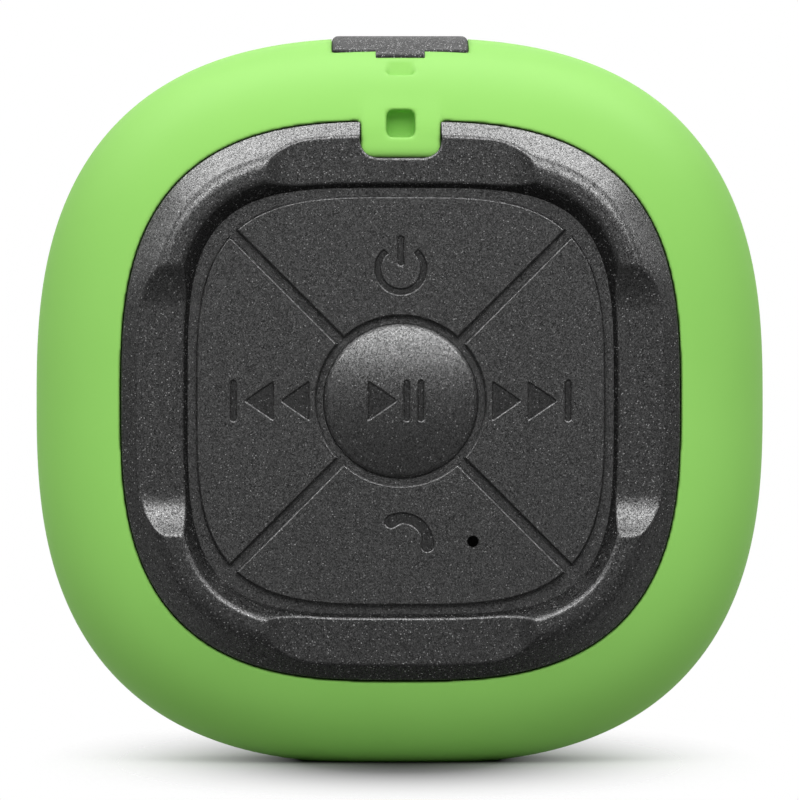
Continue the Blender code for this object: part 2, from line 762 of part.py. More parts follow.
# Keypad mat: the floor of the grooves, open behind each key.
mat = solid("keypad_mat", [loop(CLAMP_HALF, MAT_Y), loop(CLAMP_HALF, MAT_BACK_Y)], RUBBER)
windows = bmesh.new()
for direction in range(4):
    outline = quadrant_outline(direction, KEY_GAP)
    prism(windows, outline, MAT_Y - MAT_WALL, MAT_BACK_Y + MAT_WALL, "Y")
loft(windows, [
    circle(PLAY_RADIUS + KEY_GAP, MAT_Y - MAT_WALL, 32),
    circle(PLAY_RADIUS + KEY_GAP, MAT_BACK_Y + MAT_WALL, 32),
])
combine(mat, add("mat_windows", windows), "DIFFERENCE")

# Keys.
add_quadrant_key("power_key", 1, power_icon())
add_quadrant_key("previous_key", 2, skip_icon(-1))
add_quadrant_key("next_key", 0, skip_icon(1))
call_key = add_quadrant_key("call_key", 3, call_icon())
mic_bore = bmesh.new()
loft(mic_bore, [
    circle(MIC_HOLE, KEY_Y - 0.001, 10, (MIC_X, MIC_Z)),
    circle(MIC_HOLE, KEY_BACK_Y + 0.001, 10, (MIC_X, MIC_Z)),
])
combine(call_key, add("call_key_mic_hole", mic_bore), "DIFFERENCE")
add_play_key()

# Switches, microphone, radio module and the board that carries them.
add_switch("power", 0.0, SWITCH_OFFSET)
add_switch("previous", -SWITCH_OFFSET, 0.0)
add_switch("next", SWITCH_OFFSET, 0.0)
add_switch("call", 0.0, -SWITCH_OFFSET)
add_switch("play", 0.0, 0.0)
mic_at = (MIC_X, MIC_Z)
mic_y = BOARD_Y - FIT
solid("microphone", [
    circle(MIC_RADIUS, mic_y - MIC_WALL, 16, mic_at),
    circle(MIC_RADIUS, mic_y, 16, mic_at),
], STEEL)
boot_in = MIC_RADIUS + FIT
boot_out = boot_in + BOOT_WALL
boot_top = KEY_BACK_Y + KEY_TRAVEL + FIT
ring("mic_boot", [
    circle(boot_out, boot_top, 16, mic_at),
    circle(boot_out, mic_y, 16, mic_at),
    circle(boot_in, mic_y, 16, mic_at),
    circle(boot_in, boot_top, 16, mic_at),
], SEAL)
radio = bmesh.new()
radio_span = (-RADIO_OFFSET - RADIO_HALF, -RADIO_OFFSET + RADIO_HALF)
block(radio, radio_span, (mic_y - RADIO_WALL, mic_y), radio_span)
add("radio_module", radio, STEEL)
board = solid("control_board", [loop(BOARD_HALF, BOARD_Y), loop(BOARD_HALF, BOARD_BACK_Y)], BOARD)
board_holes = bmesh.new()
for spot in corners(BOARD_SCREW_OFFSET):
    loft(board_holes, [
        circle(BOARD_SCREW_RADIUS + FIT, BOARD_Y - 0.001, 8, spot),
        circle(BOARD_SCREW_RADIUS + FIT, BOARD_BACK_Y + 0.001, 8, spot),
    ])
combine(board, add("board_screw_holes", board_holes), "DIFFERENCE")
for number, (x, z) in enumerate(corners(BOARD_SCREW_OFFSET), 1):
    add_screw(
        f"board_screw_{number}", x, z, BOARD_Y - FIT - 0.0011, 0.0011, 2 * BOARD_SCREW_RADIUS,
        BULKHEAD_BACK_Y + 0.0014, BOARD_SCREW_RADIUS,
    )

# Front housing: a cup with a bulkhead behind the board, screw posts and a pocket for the eye.
outer_turns = [HOUSING_OUT.turn * i / 3 for i in (3, 2, 1, 0)]
shell_out = [HOUSING_OUT.at(turn) for turn in outer_turns]
inner_depths = [SIDE_FLAT, (SIDE_FLAT - BULKHEAD_BACK_Y) / 2, -BULKHEAD_BACK_Y]
front_loops = [
    shell_loop(RECESS_HALF, BULKHEAD_Y),
    shell_loop(RECESS_HALF, LEDGE_Y),
    shell_loop(CLAMP_HALF, LEDGE_Y),
    shell_loop(CLAMP_HALF, SEAT_Y),
    shell_loop(BEZEL_HALF - FIT, SEAT_Y),
]
front_loops += [shell_loop(half, -depth) for half, depth in shell_out]
front_loops += [
    shell_loop(HOUSING_OUT.half(SPLIT_FRONT_Y), SPLIT_FRONT_Y),
    shell_loop(HOUSING_IN.half(SPLIT_FRONT_Y), SPLIT_FRONT_Y),
]
front_loops += [shell_loop(HOUSING_IN.half(depth), -depth) for depth in inner_depths]
front_housing = solid("front_housing", front_loops, SHELL)
pocket_half = EYE_BOSS_HALF + FIT
pocket_low = EYE_LOW - 5 * FIT
pocket_back = boss_back + FIT
lead_holes = (
    (MAGNET_RADIUS + LEAD_STEP + 2 * FIT, -MAGNET_RADIUS / 3),
    (CELL_HALF_X / 2, CELL_HALF_Z + LEAD_STEP),
)
added = bmesh.new()
for spot in corners(POST_OFFSET):
    loft(added, [
        circle(POST_RADIUS, BULKHEAD_BACK_Y - FIT, 8, spot),
        circle(POST_RADIUS, SPLIT_FRONT_Y, 8, spot),
    ])
for spot in corners(BOARD_SCREW_OFFSET):
    loft(added, [
        circle(BOARD_SCREW_RADIUS + 0.0014, BULKHEAD_BACK_Y - FIT, 8, spot),
        circle(BOARD_SCREW_RADIUS + 0.0014, BULKHEAD_BACK_Y + 0.0026, 8, spot),
    ])
block(
    added,
    (-pocket_half - 0.0013, pocket_half + 0.0013),
    (BULKHEAD_BACK_Y - FIT, pocket_back + EYE_POCKET_WALL),
    (pocket_low - EYE_POCKET_WALL, HOUSING_OUT.half(BULKHEAD_BACK_Y) - HOUSING_WALL / 2),
)
combine(front_housing, add("front_housing_posts", added), "UNION")
removed = bmesh.new()
for spot in corners(POST_OFFSET):
    loft(removed, [
        circle(SCREW_RADIUS + FIT, SPLIT_FRONT_Y - 0.008, 8, spot),
        circle(SCREW_RADIUS + FIT, SPLIT_FRONT_Y + 0.001, 8, spot),
    ])
for spot in corners(BOARD_SCREW_OFFSET):
    loft(removed, [
        circle(BOARD_SCREW_RADIUS + FIT, BULKHEAD_Y - 0.001, 8, spot),
        circle(BOARD_SCREW_RADIUS + FIT, BULKHEAD_BACK_Y + 0.0019, 8, spot),
    ])
for spot in lead_holes:
    loft(removed, [
        circle(LEAD_HOLE, BULKHEAD_Y - 0.001, 8, spot),
        circle(LEAD_HOLE, BULKHEAD_BACK_Y + 0.001, 8, spot),
    ])
block(removed, (-pocket_half, pocket_half), (CREST_Y, pocket_back), (pocket_low, HALF))
combine(front_housing, add("front_housing_holes", removed), "DIFFERENCE")
tray_hole = bmesh.new()
block(tray_hole, (-open_half, open_half), (open_front, open_rear), (PORT_BOARD_Z, HALF))
combine(front_housing, add("front_housing_tray_hole", tray_hole), "DIFFERENCE")

# Port tray with its two sockets on their own small board.
tray = bmesh.new()
tray_plan = rounded_outline(COVER_HALF, -COVER_FRONT, COVER_REAR, COVER_CORNER)
prism(tray, tray_plan, SOCKET_Z, TRAY_Z, "Z")
port_tray = add("port_tray", tray, SHELL)
ears = bmesh.new()
ear_top = HOUSING_HALF - HOUSING_WALL - 0.0008
block(
    ears, (-COVER_HALF - TRAY_EAR, COVER_HALF + TRAY_EAR), (-SIDE_FLAT, COVER_REAR - FIT),
    (ear_top - TRAY_EAR_WALL, ear_top),
)
combine(port_tray, add("tray_ears", ears), "UNION")
sockets = bmesh.new()
block(
    sockets,
    (-SOCKET_X - USB_WIDTH / 2 - FIT, -SOCKET_X + USB_WIDTH / 2 + FIT),
    (SOCKET_Y - USB_DEPTH / 2 - FIT, SOCKET_Y + USB_DEPTH / 2 + FIT),
    (SOCKET_Z - 0.001, TRAY_Z + 0.001),
)
prism(sockets, aux_ring(AUX_RADIUS + FIT), SOCKET_Z - 0.001, TRAY_Z + 0.001, "Z")
combine(port_tray, add("tray_socket_holes", sockets), "DIFFERENCE")
mouth_z = TRAY_Z - SOCKET_SINK


def socket_loops(plan):
    """Outer wall up, over the rim and down to the bottom of the mouth."""
    outer, inner = plan
    return [
        [(x, y, SOCKET_Z) for x, y in outer],
        [(x, y, mouth_z) for x, y in outer],
        [(x, y, mouth_z) for x, y in inner],
        [(x, y, mouth_z - SOCKET_MOUTH) for x, y in inner],
    ]


def usb_plan(inset):
    half_x = USB_WIDTH / 2 - inset
    half_y = USB_DEPTH / 2 - inset
    corner = 0.0007
    points = rounded_outline(half_x, -half_y, half_y, corner, 2)
    return [(x - SOCKET_X, y + SOCKET_Y) for x, y in points]


solid("usb_socket", socket_loops((usb_plan(0.0), usb_plan(USB_WALL))), STEEL)
solid("aux_socket", socket_loops((aux_ring(AUX_RADIUS), aux_ring(AUX_BORE))), RUBBER)
port_board = bmesh.new()
block(
    port_board, (-COVER_HALF, COVER_HALF), (pocket_back + EYE_POCKET_WALL + FIT, COVER_REAR),
    (PORT_BOARD_Z - BOARD_WALL, PORT_BOARD_Z),
)
add("port_board", port_board, BOARD)

# Port cover, turning about its rear top edge, and the tether that holds it.
cover = bmesh.new()
cover_points = [(COVER_REAR, COVER_Z), (-COVER_FRONT, COVER_Z)]
for i in range(6):
    y = -COVER_FRONT + (COVER_FRONT - SIDE_FLAT) * i / 5
    cover_points.append((y, SLEEVE_OUT.half(y) + COVER_PROUD))
cover_points.append((COVER_REAR, COVER_TOP_Z))
prism(cover, cover_points, -COVER_HALF, COVER_HALF, "X")
cover_corners = [
    edge for edge in cover.edges
    if abs(edge.verts[0].co.x - edge.verts[1].co.x) < 1e-6
    and all(abs(v.co.y + COVER_FRONT) < 1e-6 for v in edge.verts)
]
round_edges(cover, cover_corners, COVER_CORNER)
hinge = (0.0, HINGE_Y, COVER_TOP_Z)
port_cover = add("port_cover", cover, RUBBER, hinge)
finger = bmesh.new()
finger_y = -COVER_FRONT - FINGER_REACH
finger_z = SLEEVE_OUT.half(finger_y) + FIT
edge_z = SLEEVE_OUT.half(open_front) + FIT
prism(finger, [
    (-COVER_FRONT + 0.0007, edge_z + 0.0004),
    (finger_y, finger_z + 0.0004),
    (finger_y, finger_z),
    (open_front, edge_z),
    (-COVER_FRONT + 0.0007, edge_z),
], -FINGER_HALF, FINGER_HALF, "X")
combine(port_cover, add("cover_finger_lip", finger), "UNION")
tether = bmesh.new()
block(
    tether, (-TETHER_HALF, TETHER_HALF),
    (COVER_REAR + FIT, COVER_REAR + FIT + TETHER_LENGTH), (HOUSING_HALF + FIT, HALF + FIT / 2),
)
add("port_cover_tether", tether, RUBBER)

# Battery cell on the bulkhead, with its lead.
cell = bmesh.new()
block(cell, (-CELL_HALF_X, CELL_HALF_X), (CELL_Y, CELL_BACK_Y), (-CELL_HALF_Z, CELL_HALF_Z))
upright = [e for e in cell.edges if abs(e.verts[0].co.z - e.verts[1].co.z) > CELL_HALF_Z]
round_edges(cell, upright, 0.0016, 2)
add("battery_cell", cell, FILM)
lead_y = (CELL_Y + CELL_BACK_Y) / 2
tube("battery_lead", [
    (lead_holes[1][0], lead_y, CELL_HALF_Z + FIT),
    (lead_holes[1][0], lead_y, lead_holes[1][1] - LEAD_HOLE),
    (lead_holes[1][0], lead_y - LEAD_HOLE, lead_holes[1][1]),
    (lead_holes[1][0], BOARD_BACK_Y + FIT, lead_holes[1][1]),
], LEAD_RADIUS, COPPER)

# Rear housing: the other half of the shell, with the baffle that carries the loudspeaker.
baffle_hole = BASKET_RADIUS + FIT
shell_mid = 0.5 * (BAFFLE_FRONT_Y + SPLIT_REAR_Y)
rear_loops = [
    shell_loop(HOUSING_IN.half(SPLIT_REAR_Y), SPLIT_REAR_Y),
    shell_loop(HOUSING_OUT.half(SPLIT_REAR_Y), SPLIT_REAR_Y),
]
rear_loops += [shell_loop(half, depth) for half, depth in reversed(shell_out[:3]) if depth > SPLIT_REAR_Y]
rear_loops += [
    shell_loop(BEZEL_HALF - FIT, -SEAT_Y),
    shell_loop(CLAMP_HALF, -SEAT_Y),
    shell_loop(CLAMP_HALF, REAR_LEDGE_Y),
    shell_loop(RECESS_HALF, REAR_LEDGE_Y),
    shell_loop(RECESS_HALF, BAFFLE_Y),
    circle(baffle_hole, BAFFLE_Y, 48),
    circle(baffle_hole, BAFFLE_FRONT_Y, 48),
    shell_loop(HOUSING_IN.half(BAFFLE_FRONT_Y), BAFFLE_FRONT_Y),
    shell_loop(HOUSING_IN.half(shell_mid), shell_mid),
]
rear_housing = ring("rear_housing", rear_loops, SHELL)
rear_added = bmesh.new()
for spot in corners(POST_OFFSET):
    loft(rear_added, [
        circle(POST_RADIUS, SPLIT_REAR_Y, 8, spot),
        circle(POST_RADIUS, BAFFLE_FRONT_Y + FIT, 8, spot),
    ])
combine(rear_housing, add("rear_housing_posts", rear_added), "UNION")
rear_removed = bmesh.new()
head_seat = -SEAT_Y - SCREW_HEAD_WALL - 2 * FIT
for spot in corners(POST_OFFSET):
    loft(rear_removed, [
        circle(SCREW_RADIUS + FIT, SPLIT_REAR_Y - 0.001, 8, spot),
        circle(SCREW_RADIUS + FIT, head_seat, 8, spot),
        circle(SCREW_HEAD_RADIUS + FIT, head_seat, 8, spot),
        circle(SCREW_HEAD_RADIUS + FIT, REAR_LEDGE_Y + 0.001, 8, spot),
    ])
for spot in corners(DRIVER_SCREW_OFFSET):
    loft(rear_removed, [
        circle(DRIVER_SCREW_RADIUS + FIT, BAFFLE_FRONT_Y - 0.001, 8, spot),
        circle(DRIVER_SCREW_RADIUS + FIT, BAFFLE_Y + 0.001, 8, spot),
    ])
combine(rear_housing, add("rear_housing_holes", rear_removed), "DIFFERENCE")
for number, (x, z) in enumerate(corners(POST_OFFSET), 1):
    add_screw(
        f"housing_screw_{number}", x, z, -SEAT_Y - FIT, SCREW_HEAD_WALL, SCREW_HEAD_RADIUS,
        SPLIT_FRONT_Y - 0.007, SCREW_RADIUS,
    )
seal_in = HOUSING_IN.half(SPLIT_DEPTH) + FIT
seal_out = HOUSING_OUT.half(SPLIT_DEPTH) - FIT
ring("housing_seal", [
    shell_loop(seal_in, SPLIT_DEPTH - SEAL_WALL / 2),
    shell_loop(seal_out, SPLIT_DEPTH - SEAL_WALL / 2),
    shell_loop(seal_out, SPLIT_DEPTH + SEAL_WALL / 2),
    shell_loop(seal_in, SPLIT_DEPTH + SEAL_WALL / 2),
], SEAL)

# Loudspeaker motor: yoke with its pole, ring magnet and top plate.
coil_in = COIL_RADIUS - COIL_WALL
pole_radius = coil_in - COIL_PLAY
gap_radius = COIL_RADIUS + COIL_PLAY
solid("driver_yoke", [
    circle(YOKE_RADIUS, YOKE_Y),
    circle(YOKE_RADIUS, YOKE_TOP_Y),
    circle(pole_radius, YOKE_TOP_Y),
    circle(pole_radius, PLATE_TOP_Y),
], STEEL)
ring("driver_magnet", [
    circle(gap_radius + 2 * FIT, MAGNET_Y),
    circle(MAGNET_RADIUS, MAGNET_Y),
    circle(MAGNET_RADIUS, MAGNET_TOP_Y),
    circle(gap_radius + 2 * FIT, MAGNET_TOP_Y),
], FERRITE)
ring("driver_top_plate", [
    circle(gap_radius, PLATE_Y),
    circle(PLATE_RADIUS, PLATE_Y),
    circle(PLATE_RADIUS, PLATE_TOP_Y),
    circle(gap_radius, PLATE_TOP_Y),
], STEEL)

# Basket: a bowl with a square flange and four windows.
bowl_floor = BASKET_Y + 0.0013
flange_half = RECESS_HALF - 2 * FIT
rim_floor = FLANGE_TOP_Y - SURROUND_WALL - FIT / 3
neck_bore = gap_radius + FIT
bowl_low = PLATE_RADIUS - 0.0011
bowl_in = SURROUND_OUTER - 0.0017
basket = ring("driver_basket", [
    loop(flange_half, FLANGE_LOW_Y, None, 32),
    loop(flange_half, FLANGE_TOP_Y, None, 32),
    circle(SURROUND_OUTER + FIT, FLANGE_TOP_Y, 32),
    circle(SURROUND_OUTER + FIT, rim_floor, 32),
    circle(bowl_in, rim_floor, 32),
    circle(bowl_low - 0.0006, bowl_floor, 32),
    circle(neck_bore, bowl_floor, 32),
    circle(neck_bore, BASKET_Y, 32),
    circle(bowl_low, BASKET_Y, 32),
    circle(BASKET_RADIUS, FLANGE_LOW_Y, 32),
], STEEL)
windows = bmesh.new()
w = 0.006
a = SURROUND_OUTER
plus = [
    (w, w), (w, a), (-w, a), (-w, w), (-a, w), (-a, -w),
    (-w, -w), (-w, -a), (w, -a), (w, -w), (a, -w), (a, w),
]
prism(windows, plus, BASKET_Y + 0.0035, BAFFLE_FRONT_Y - 0.001, "Y")
combine(basket, add("basket_windows", windows), "DIFFERENCE")
flange_holes = bmesh.new()
for spot in corners(DRIVER_SCREW_OFFSET):
    loft(flange_holes, [
        circle(DRIVER_SCREW_RADIUS + FIT, FLANGE_LOW_Y - 0.001, 8, spot),
        circle(DRIVER_SCREW_RADIUS + FIT, FLANGE_TOP_Y + 0.001, 8, spot),
    ])
combine(basket, add("basket_screw_holes", flange_holes), "DIFFERENCE")
ring("driver_gasket", [
    circle(GASKET_INNER, GASKET_Y),
    circle(GASKET_OUTER, GASKET_Y),
    circle(GASKET_OUTER, GASKET_Y + GASKET_WALL),
    circle(GASKET_INNER, GASKET_Y + GASKET_WALL),
], SEAL)
for number, (x, z) in enumerate(corners(DRIVER_SCREW_OFFSET), 1):
    add_screw(
        f"driver_screw_{number}", x, z, FLANGE_TOP_Y + FIT + DRIVER_HEAD_WALL, DRIVER_HEAD_WALL,
        DRIVER_HEAD_RADIUS, BAFFLE_FRONT_Y - 0.0015, DRIVER_SCREW_RADIUS,
    )

# Moving group: coil, cone and dust cap. Their common axis is the body's own.
cone_top = FLANGE_TOP_Y - 0.0006
ring("voice_coil", [
    circle(coil_in, PLATE_Y - 0.001),
    circle(COIL_RADIUS, PLATE_Y - 0.001),
    circle(COIL_RADIUS, NECK_Y - FIT),
    circle(coil_in, NECK_Y - FIT),
], COPPER)
ring("driver_cone", [
    circle(CONE_RADIUS, cone_top),
    circle(CONE_RADIUS, cone_top + CONE_WALL),
    circle(COIL_RADIUS + 0.0004, NECK_Y + 2 * CONE_WALL),
    circle(coil_in, NECK_Y + 2 * CONE_WALL),
    circle(coil_in, NECK_Y),
    circle(COIL_RADIUS + 0.0008, NECK_Y + 0.0002),
], PAPER)
cap_radius = COIL_RADIUS + 0.0008
cap_y = NECK_Y + 2 * CONE_WALL + (cap_radius - COIL_RADIUS) * (
    (cone_top - NECK_Y) / (CONE_RADIUS - COIL_RADIUS)
) + FIT
solid("dust_cap", [
    circle(cap_radius, cap_y),
    circle(cap_radius * 0.98, cap_y + CAP_RISE / 6),
    circle(cap_radius * 0.72, cap_y + CAP_RISE * 2 / 3),
    circle(cap_radius * 0.3, cap_y + CAP_RISE),
], PAPER)

# Suspension: the half-roll surround at the rim and the corrugated spider at the neck.
roll_in = CONE_RADIUS + FIT
roll_out = SURROUND_OUTER - 0.0012
roll_mid = (roll_in + roll_out) / 2
roll_radius = (roll_out - roll_in) / 2
roll_y = rim_floor + FIT
upper = []
lower = []
for i in range(5):
    turn = pi * i / 4
    rise = roll_radius * 0.6 * sin(turn)
    upper.append(circle(roll_mid + roll_radius * cos(turn), roll_y + SURROUND_WALL + rise, 24))
    lower.append(circle(
        roll_mid + (roll_radius - SURROUND_WALL) * cos(turn), roll_y + roll_radius * 0.6 * sin(turn), 24
    ))
ring("driver_surround", [
    circle(SURROUND_OUTER, roll_y, 24),
    circle(SURROUND_OUTER, roll_y + SURROUND_WALL, 24),
] + upper + [circle(roll_in, roll_y, 24)] + lower[::-1][:-1], RUBBER)
spider_in = COIL_RADIUS + FIT
spider_out = bowl_low - 0.0006 - FIT
spider_y = bowl_floor + FIT
waves = []
for i in range(5):
    r = spider_out + (spider_in - spider_out) * i / 4
    waves.append((r, spider_y + (0.0004 if i % 2 else 0.0)))
ring(
    "driver_spider",
    [circle(r, y + 0.0004) for r, y in waves] + [circle(r, y) for r, y in reversed(waves)],
    CLOTH,
)
tube("speaker_lead", [
    (lead_holes[0][0], BOARD_BACK_Y + FIT, lead_holes[0][1]),
    (lead_holes[0][0], PLATE_Y, lead_holes[0][1]),
    (lead_holes[0][0] - LEAD_RADIUS, PLATE_TOP_Y, lead_holes[0][1] + LEAD_HOLE),
    (lead_holes[0][0] - LEAD_STEP, PLATE_TOP_Y + LEAD_STEP, lead_holes[0][1] + LEAD_STEP + LEAD_HOLE),
], LEAD_RADIUS, COPPER)

# Rear face: acoustic mesh, perforated grille and the rear bezel.
solid("acoustic_mesh", [
    loop(CLAMP_HALF - FIT, REAR_LEDGE_Y + FIT, None, 40),
    loop(CLAMP_HALF - FIT, MESH_TOP_Y, None, 40),
], CLOTH)
grille = solid("rear_grille", [loop(CLAMP_HALF, GRILLE_Y), loop(CLAMP_HALF, GRILLE_TOP_Y)], GRILLE)
holes = bmesh.new()
for row in range(-GRILLE_RINGS, GRILLE_RINGS + 1):
    for column in range(-GRILLE_RINGS, GRILLE_RINGS + 1):
        if abs(row + column) > GRILLE_RINGS:
            continue
        centre = (GRILLE_PITCH * (column + row / 2), GRILLE_PITCH * row * sqrt(3) / 2)
        loft(holes, [
            circle(GRILLE_HOLE, GRILLE_Y - 0.001, 6, centre),
            circle(GRILLE_HOLE, GRILLE_TOP_Y + 0.001, 6, centre),
        ])
combine(grille, add("grille_holes", holes), "DIFFERENCE")
rear_bezel = ring("rear_bezel", bezel_loops(1), BLACK)
add_scoops(rear_bezel, 1)
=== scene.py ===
"""Shower speaker: its looks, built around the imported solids.

Metres, +Z up, keys towards -Y. Shapes are worked out from the body's centre, where lift
means distance in front of the middle plane, and then raised so the foot stands at z = 0.
"""
from math import acos, asin, atan2, cos, pi, radians, sin, sqrt, tan

import bmesh
import bpy
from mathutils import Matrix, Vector


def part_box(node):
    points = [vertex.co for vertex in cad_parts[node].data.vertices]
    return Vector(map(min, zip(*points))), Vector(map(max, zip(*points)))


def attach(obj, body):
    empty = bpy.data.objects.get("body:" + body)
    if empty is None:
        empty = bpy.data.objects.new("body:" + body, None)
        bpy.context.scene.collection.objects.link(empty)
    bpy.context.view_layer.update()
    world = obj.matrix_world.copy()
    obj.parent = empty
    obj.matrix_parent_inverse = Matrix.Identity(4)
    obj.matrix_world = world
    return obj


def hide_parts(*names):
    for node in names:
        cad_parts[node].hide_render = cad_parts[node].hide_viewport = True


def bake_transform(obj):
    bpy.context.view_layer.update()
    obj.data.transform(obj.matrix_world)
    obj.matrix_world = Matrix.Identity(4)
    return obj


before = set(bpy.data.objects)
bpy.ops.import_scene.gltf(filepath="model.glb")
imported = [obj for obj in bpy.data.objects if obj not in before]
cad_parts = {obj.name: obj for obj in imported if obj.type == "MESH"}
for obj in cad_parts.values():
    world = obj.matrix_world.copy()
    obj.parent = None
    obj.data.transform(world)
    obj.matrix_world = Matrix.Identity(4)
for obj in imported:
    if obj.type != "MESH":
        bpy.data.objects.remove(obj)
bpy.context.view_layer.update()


# Loudspeaker: a pressed-steel basket with a ferrite ring magnet, a pulp cone on a rubber
# roll and a woven spider. It faces the rear and is screwed to the baffle.
def finish(name, colour, roughness, metallic=0.0):
    """A new material and its shader; what is even all over sits on the shader itself."""
    material = bpy.data.materials.new(name)
    material.use_nodes = True
    shader = material.node_tree.nodes["Principled BSDF"]
    shader.inputs["Base Color"].default_value = (*colour, 1.0)
    shader.inputs["Roughness"].default_value = roughness
    shader.inputs["Metallic"].default_value = metallic
    return material, shader


def texture(material, kind, settings=None, **inputs):
    """A texture on the piece's own coordinates."""
    nodes = material.node_tree.nodes
    links = material.node_tree.links
    place = nodes.get("Texture Coordinate") or nodes.new("ShaderNodeTexCoord")
    node = nodes.new(kind)
    for name, value in (settings or {}).items():
        setattr(node, name, value)
    for name, value in inputs.items():
        node.inputs[name.replace("_", " ").title()].default_value = value
    links.new(place.outputs["Object"], node.inputs["Vector"])
    return node


def between(material, socket, low, high, from_low=0.3, from_high=0.7):
    """Carry a texture's value over to a range of numbers."""
    node = material.node_tree.nodes.new("ShaderNodeMapRange")
    node.inputs["From Min"].default_value = from_low
    node.inputs["From Max"].default_value = from_high
    node.inputs["To Min"].default_value = low
    node.inputs["To Max"].default_value = high
    material.node_tree.links.new(socket, node.inputs["Value"])
    return node.outputs["Result"]


def blend_colours(material, share, first, second):
    """Mix two colours, either of which may be another node's output."""
    node = material.node_tree.nodes.new("ShaderNodeMix")
    node.data_type = "RGBA"
    links = material.node_tree.links
    links.new(share, node.inputs["Factor"])
    for socket, colour in ((node.inputs[6], first), (node.inputs[7], second)):
        if isinstance(colour, tuple):
            socket.default_value = (*colour, 1.0)
        else:
            links.new(colour, socket)
    return node.outputs[2]


def relief(material, shader, height, distance):
    """Raise and lower the surface by a texture."""
    node = material.node_tree.nodes.new("ShaderNodeBump")
    node.inputs["Distance"].default_value = distance
    links = material.node_tree.links
    links.new(height, node.inputs["Height"])
    links.new(node.outputs["Normal"], shader.inputs["Normal"])


GLOSS_SPREAD = 0.08


def grained(name, dark, light, scale, roughness, depth, metallic=0.0, shine=0.5):
    """A moulded, pressed or cast finish: colour, gloss and relief all follow one grain."""
    material, shader = finish(name, light, roughness, metallic)
    shader.inputs["Specular IOR Level"].default_value = shine
    noise = texture(material, "ShaderNodeTexNoise", scale=scale, detail=3.0)
    links = material.node_tree.links
    share = between(material, noise.outputs["Fac"], 0.0, 1.0)
    links.new(blend_colours(material, share, dark, light), shader.inputs["Base Color"])
    spread = between(
        material, noise.outputs["Fac"], roughness - GLOSS_SPREAD, roughness + GLOSS_SPREAD
    )
    links.new(spread, shader.inputs["Roughness"])
    relief(material, shader, noise.outputs["Fac"], depth)
    return material


WAVES_PER_PITCH = 0.314


def woven(name, dark, light, pitch, roughness):
    """Cloth of fine crossing threads."""
    material, shader = finish(name, light, roughness)
    links = material.node_tree.links
    threads = []
    for direction in ("X", "Z"):
        wave = texture(
            material, "ShaderNodeTexWave", {"bands_direction": direction},
            scale=WAVES_PER_PITCH / pitch,
        )
        threads.append(wave.outputs["Fac"])
    cross = material.node_tree.nodes.new("ShaderNodeMath")
    cross.operation = "MULTIPLY"
    for socket, thread in zip(cross.inputs, threads):
        links.new(thread, socket)
    share = between(material, cross.outputs[0], 0.0, 1.0, 0.1, 0.8)
    links.new(blend_colours(material, share, dark, light), shader.inputs["Base Color"])
    relief(material, shader, cross.outputs[0], pitch / 4)
    return material


def dress(material, *nodes):
    """Give CAD nodes whose shape is right their finish."""
    for node in nodes:
        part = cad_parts[node]
        if part.material_slots:
            part.material_slots[0].material = material
        else:
            part.data.materials.append(material)


PLATED_STEEL = grained(
    "plated_steel", (0.42, 0.42, 0.43), (0.62, 0.62, 0.63), 900, 0.36, 2e-5, metallic=1.0
)
FERRITE = grained("ferrite", (0.035, 0.035, 0.038), (0.075, 0.075, 0.08), 1500, 0.6, 4e-5)
CONE_PULP = grained("cone_pulp", (0.018, 0.018, 0.018), (0.05, 0.05, 0.05), 700, 0.8, 8e-5)
ROLL_RUBBER = grained("roll_rubber", (0.02, 0.02, 0.021), (0.035, 0.035, 0.036), 400, 0.6, 2e-5)
SEAL_FOAM = grained("seal_foam", (0.012, 0.012, 0.012), (0.03, 0.03, 0.03), 2500, 0.85, 9e-5)
SPIDER_CLOTH = woven("spider_cloth", (0.12, 0.07, 0.025), (0.3, 0.19, 0.08), 0.0004, 0.8)
WINDING = grained("winding", (0.42, 0.16, 0.07), (0.72, 0.33, 0.16), 2200, 0.34, 4e-5, 1.0)
LEAD_SLEEVING = grained(
    "lead_sleeving", (0.3, 0.012, 0.012), (0.45, 0.02, 0.018), 600, 0.42, 1e-5
)
dress(PLATED_STEEL, "driver_basket", "driver_yoke", "driver_top_plate")
dress(FERRITE, "driver_magnet")
dress(CONE_PULP, "driver_cone", "dust_cap")
dress(ROLL_RUBBER, "driver_surround")
dress(SPIDER_CLOTH, "driver_spider")
dress(SEAL_FOAM, "driver_gasket")
dress(WINDING, "voice_coil")
dress(LEAD_SLEEVING, "speaker_lead", "battery_lead")


# Boards and cell: green solder mask over glass cloth, tinned screening can, moulded key
# switches with soft plungers, and a flat foil cell stuck to the bulkhead.
BOARD_MASK = woven("board_mask", (0.006, 0.045, 0.02), (0.018, 0.12, 0.05), 0.0006, 0.4)
TINNED_CAN = grained("tinned_can", (0.5, 0.51, 0.52), (0.68, 0.69, 0.7), 500, 0.3, 1e-5, 1.0)
SWITCH_BODY = grained("switch_body", (0.016, 0.016, 0.017), (0.03, 0.03, 0.031), 1800, 0.5, 2e-5)
PLUNGER_TIP = grained("plunger_tip", (0.3, 0.26, 0.2), (0.42, 0.37, 0.29), 1200, 0.55, 1e-5)
CELL_FOIL = grained("cell_foil", (0.36, 0.38, 0.4), (0.55, 0.57, 0.6), 160, 0.32, 1.5e-4, 0.6)
KEYS = ("power", "previous", "next", "call", "play")
dress(BOARD_MASK, "control_board", "port_board")
dress(TINNED_CAN, "radio_module")
dress(SWITCH_BODY, *[f"{key}_switch" for key in KEYS])
dress(PLUNGER_TIP, *[f"{key}_plunger" for key in KEYS])
dress(SEAL_FOAM, "mic_boot", "microphone")
dress(CELL_FOIL, "battery_cell")


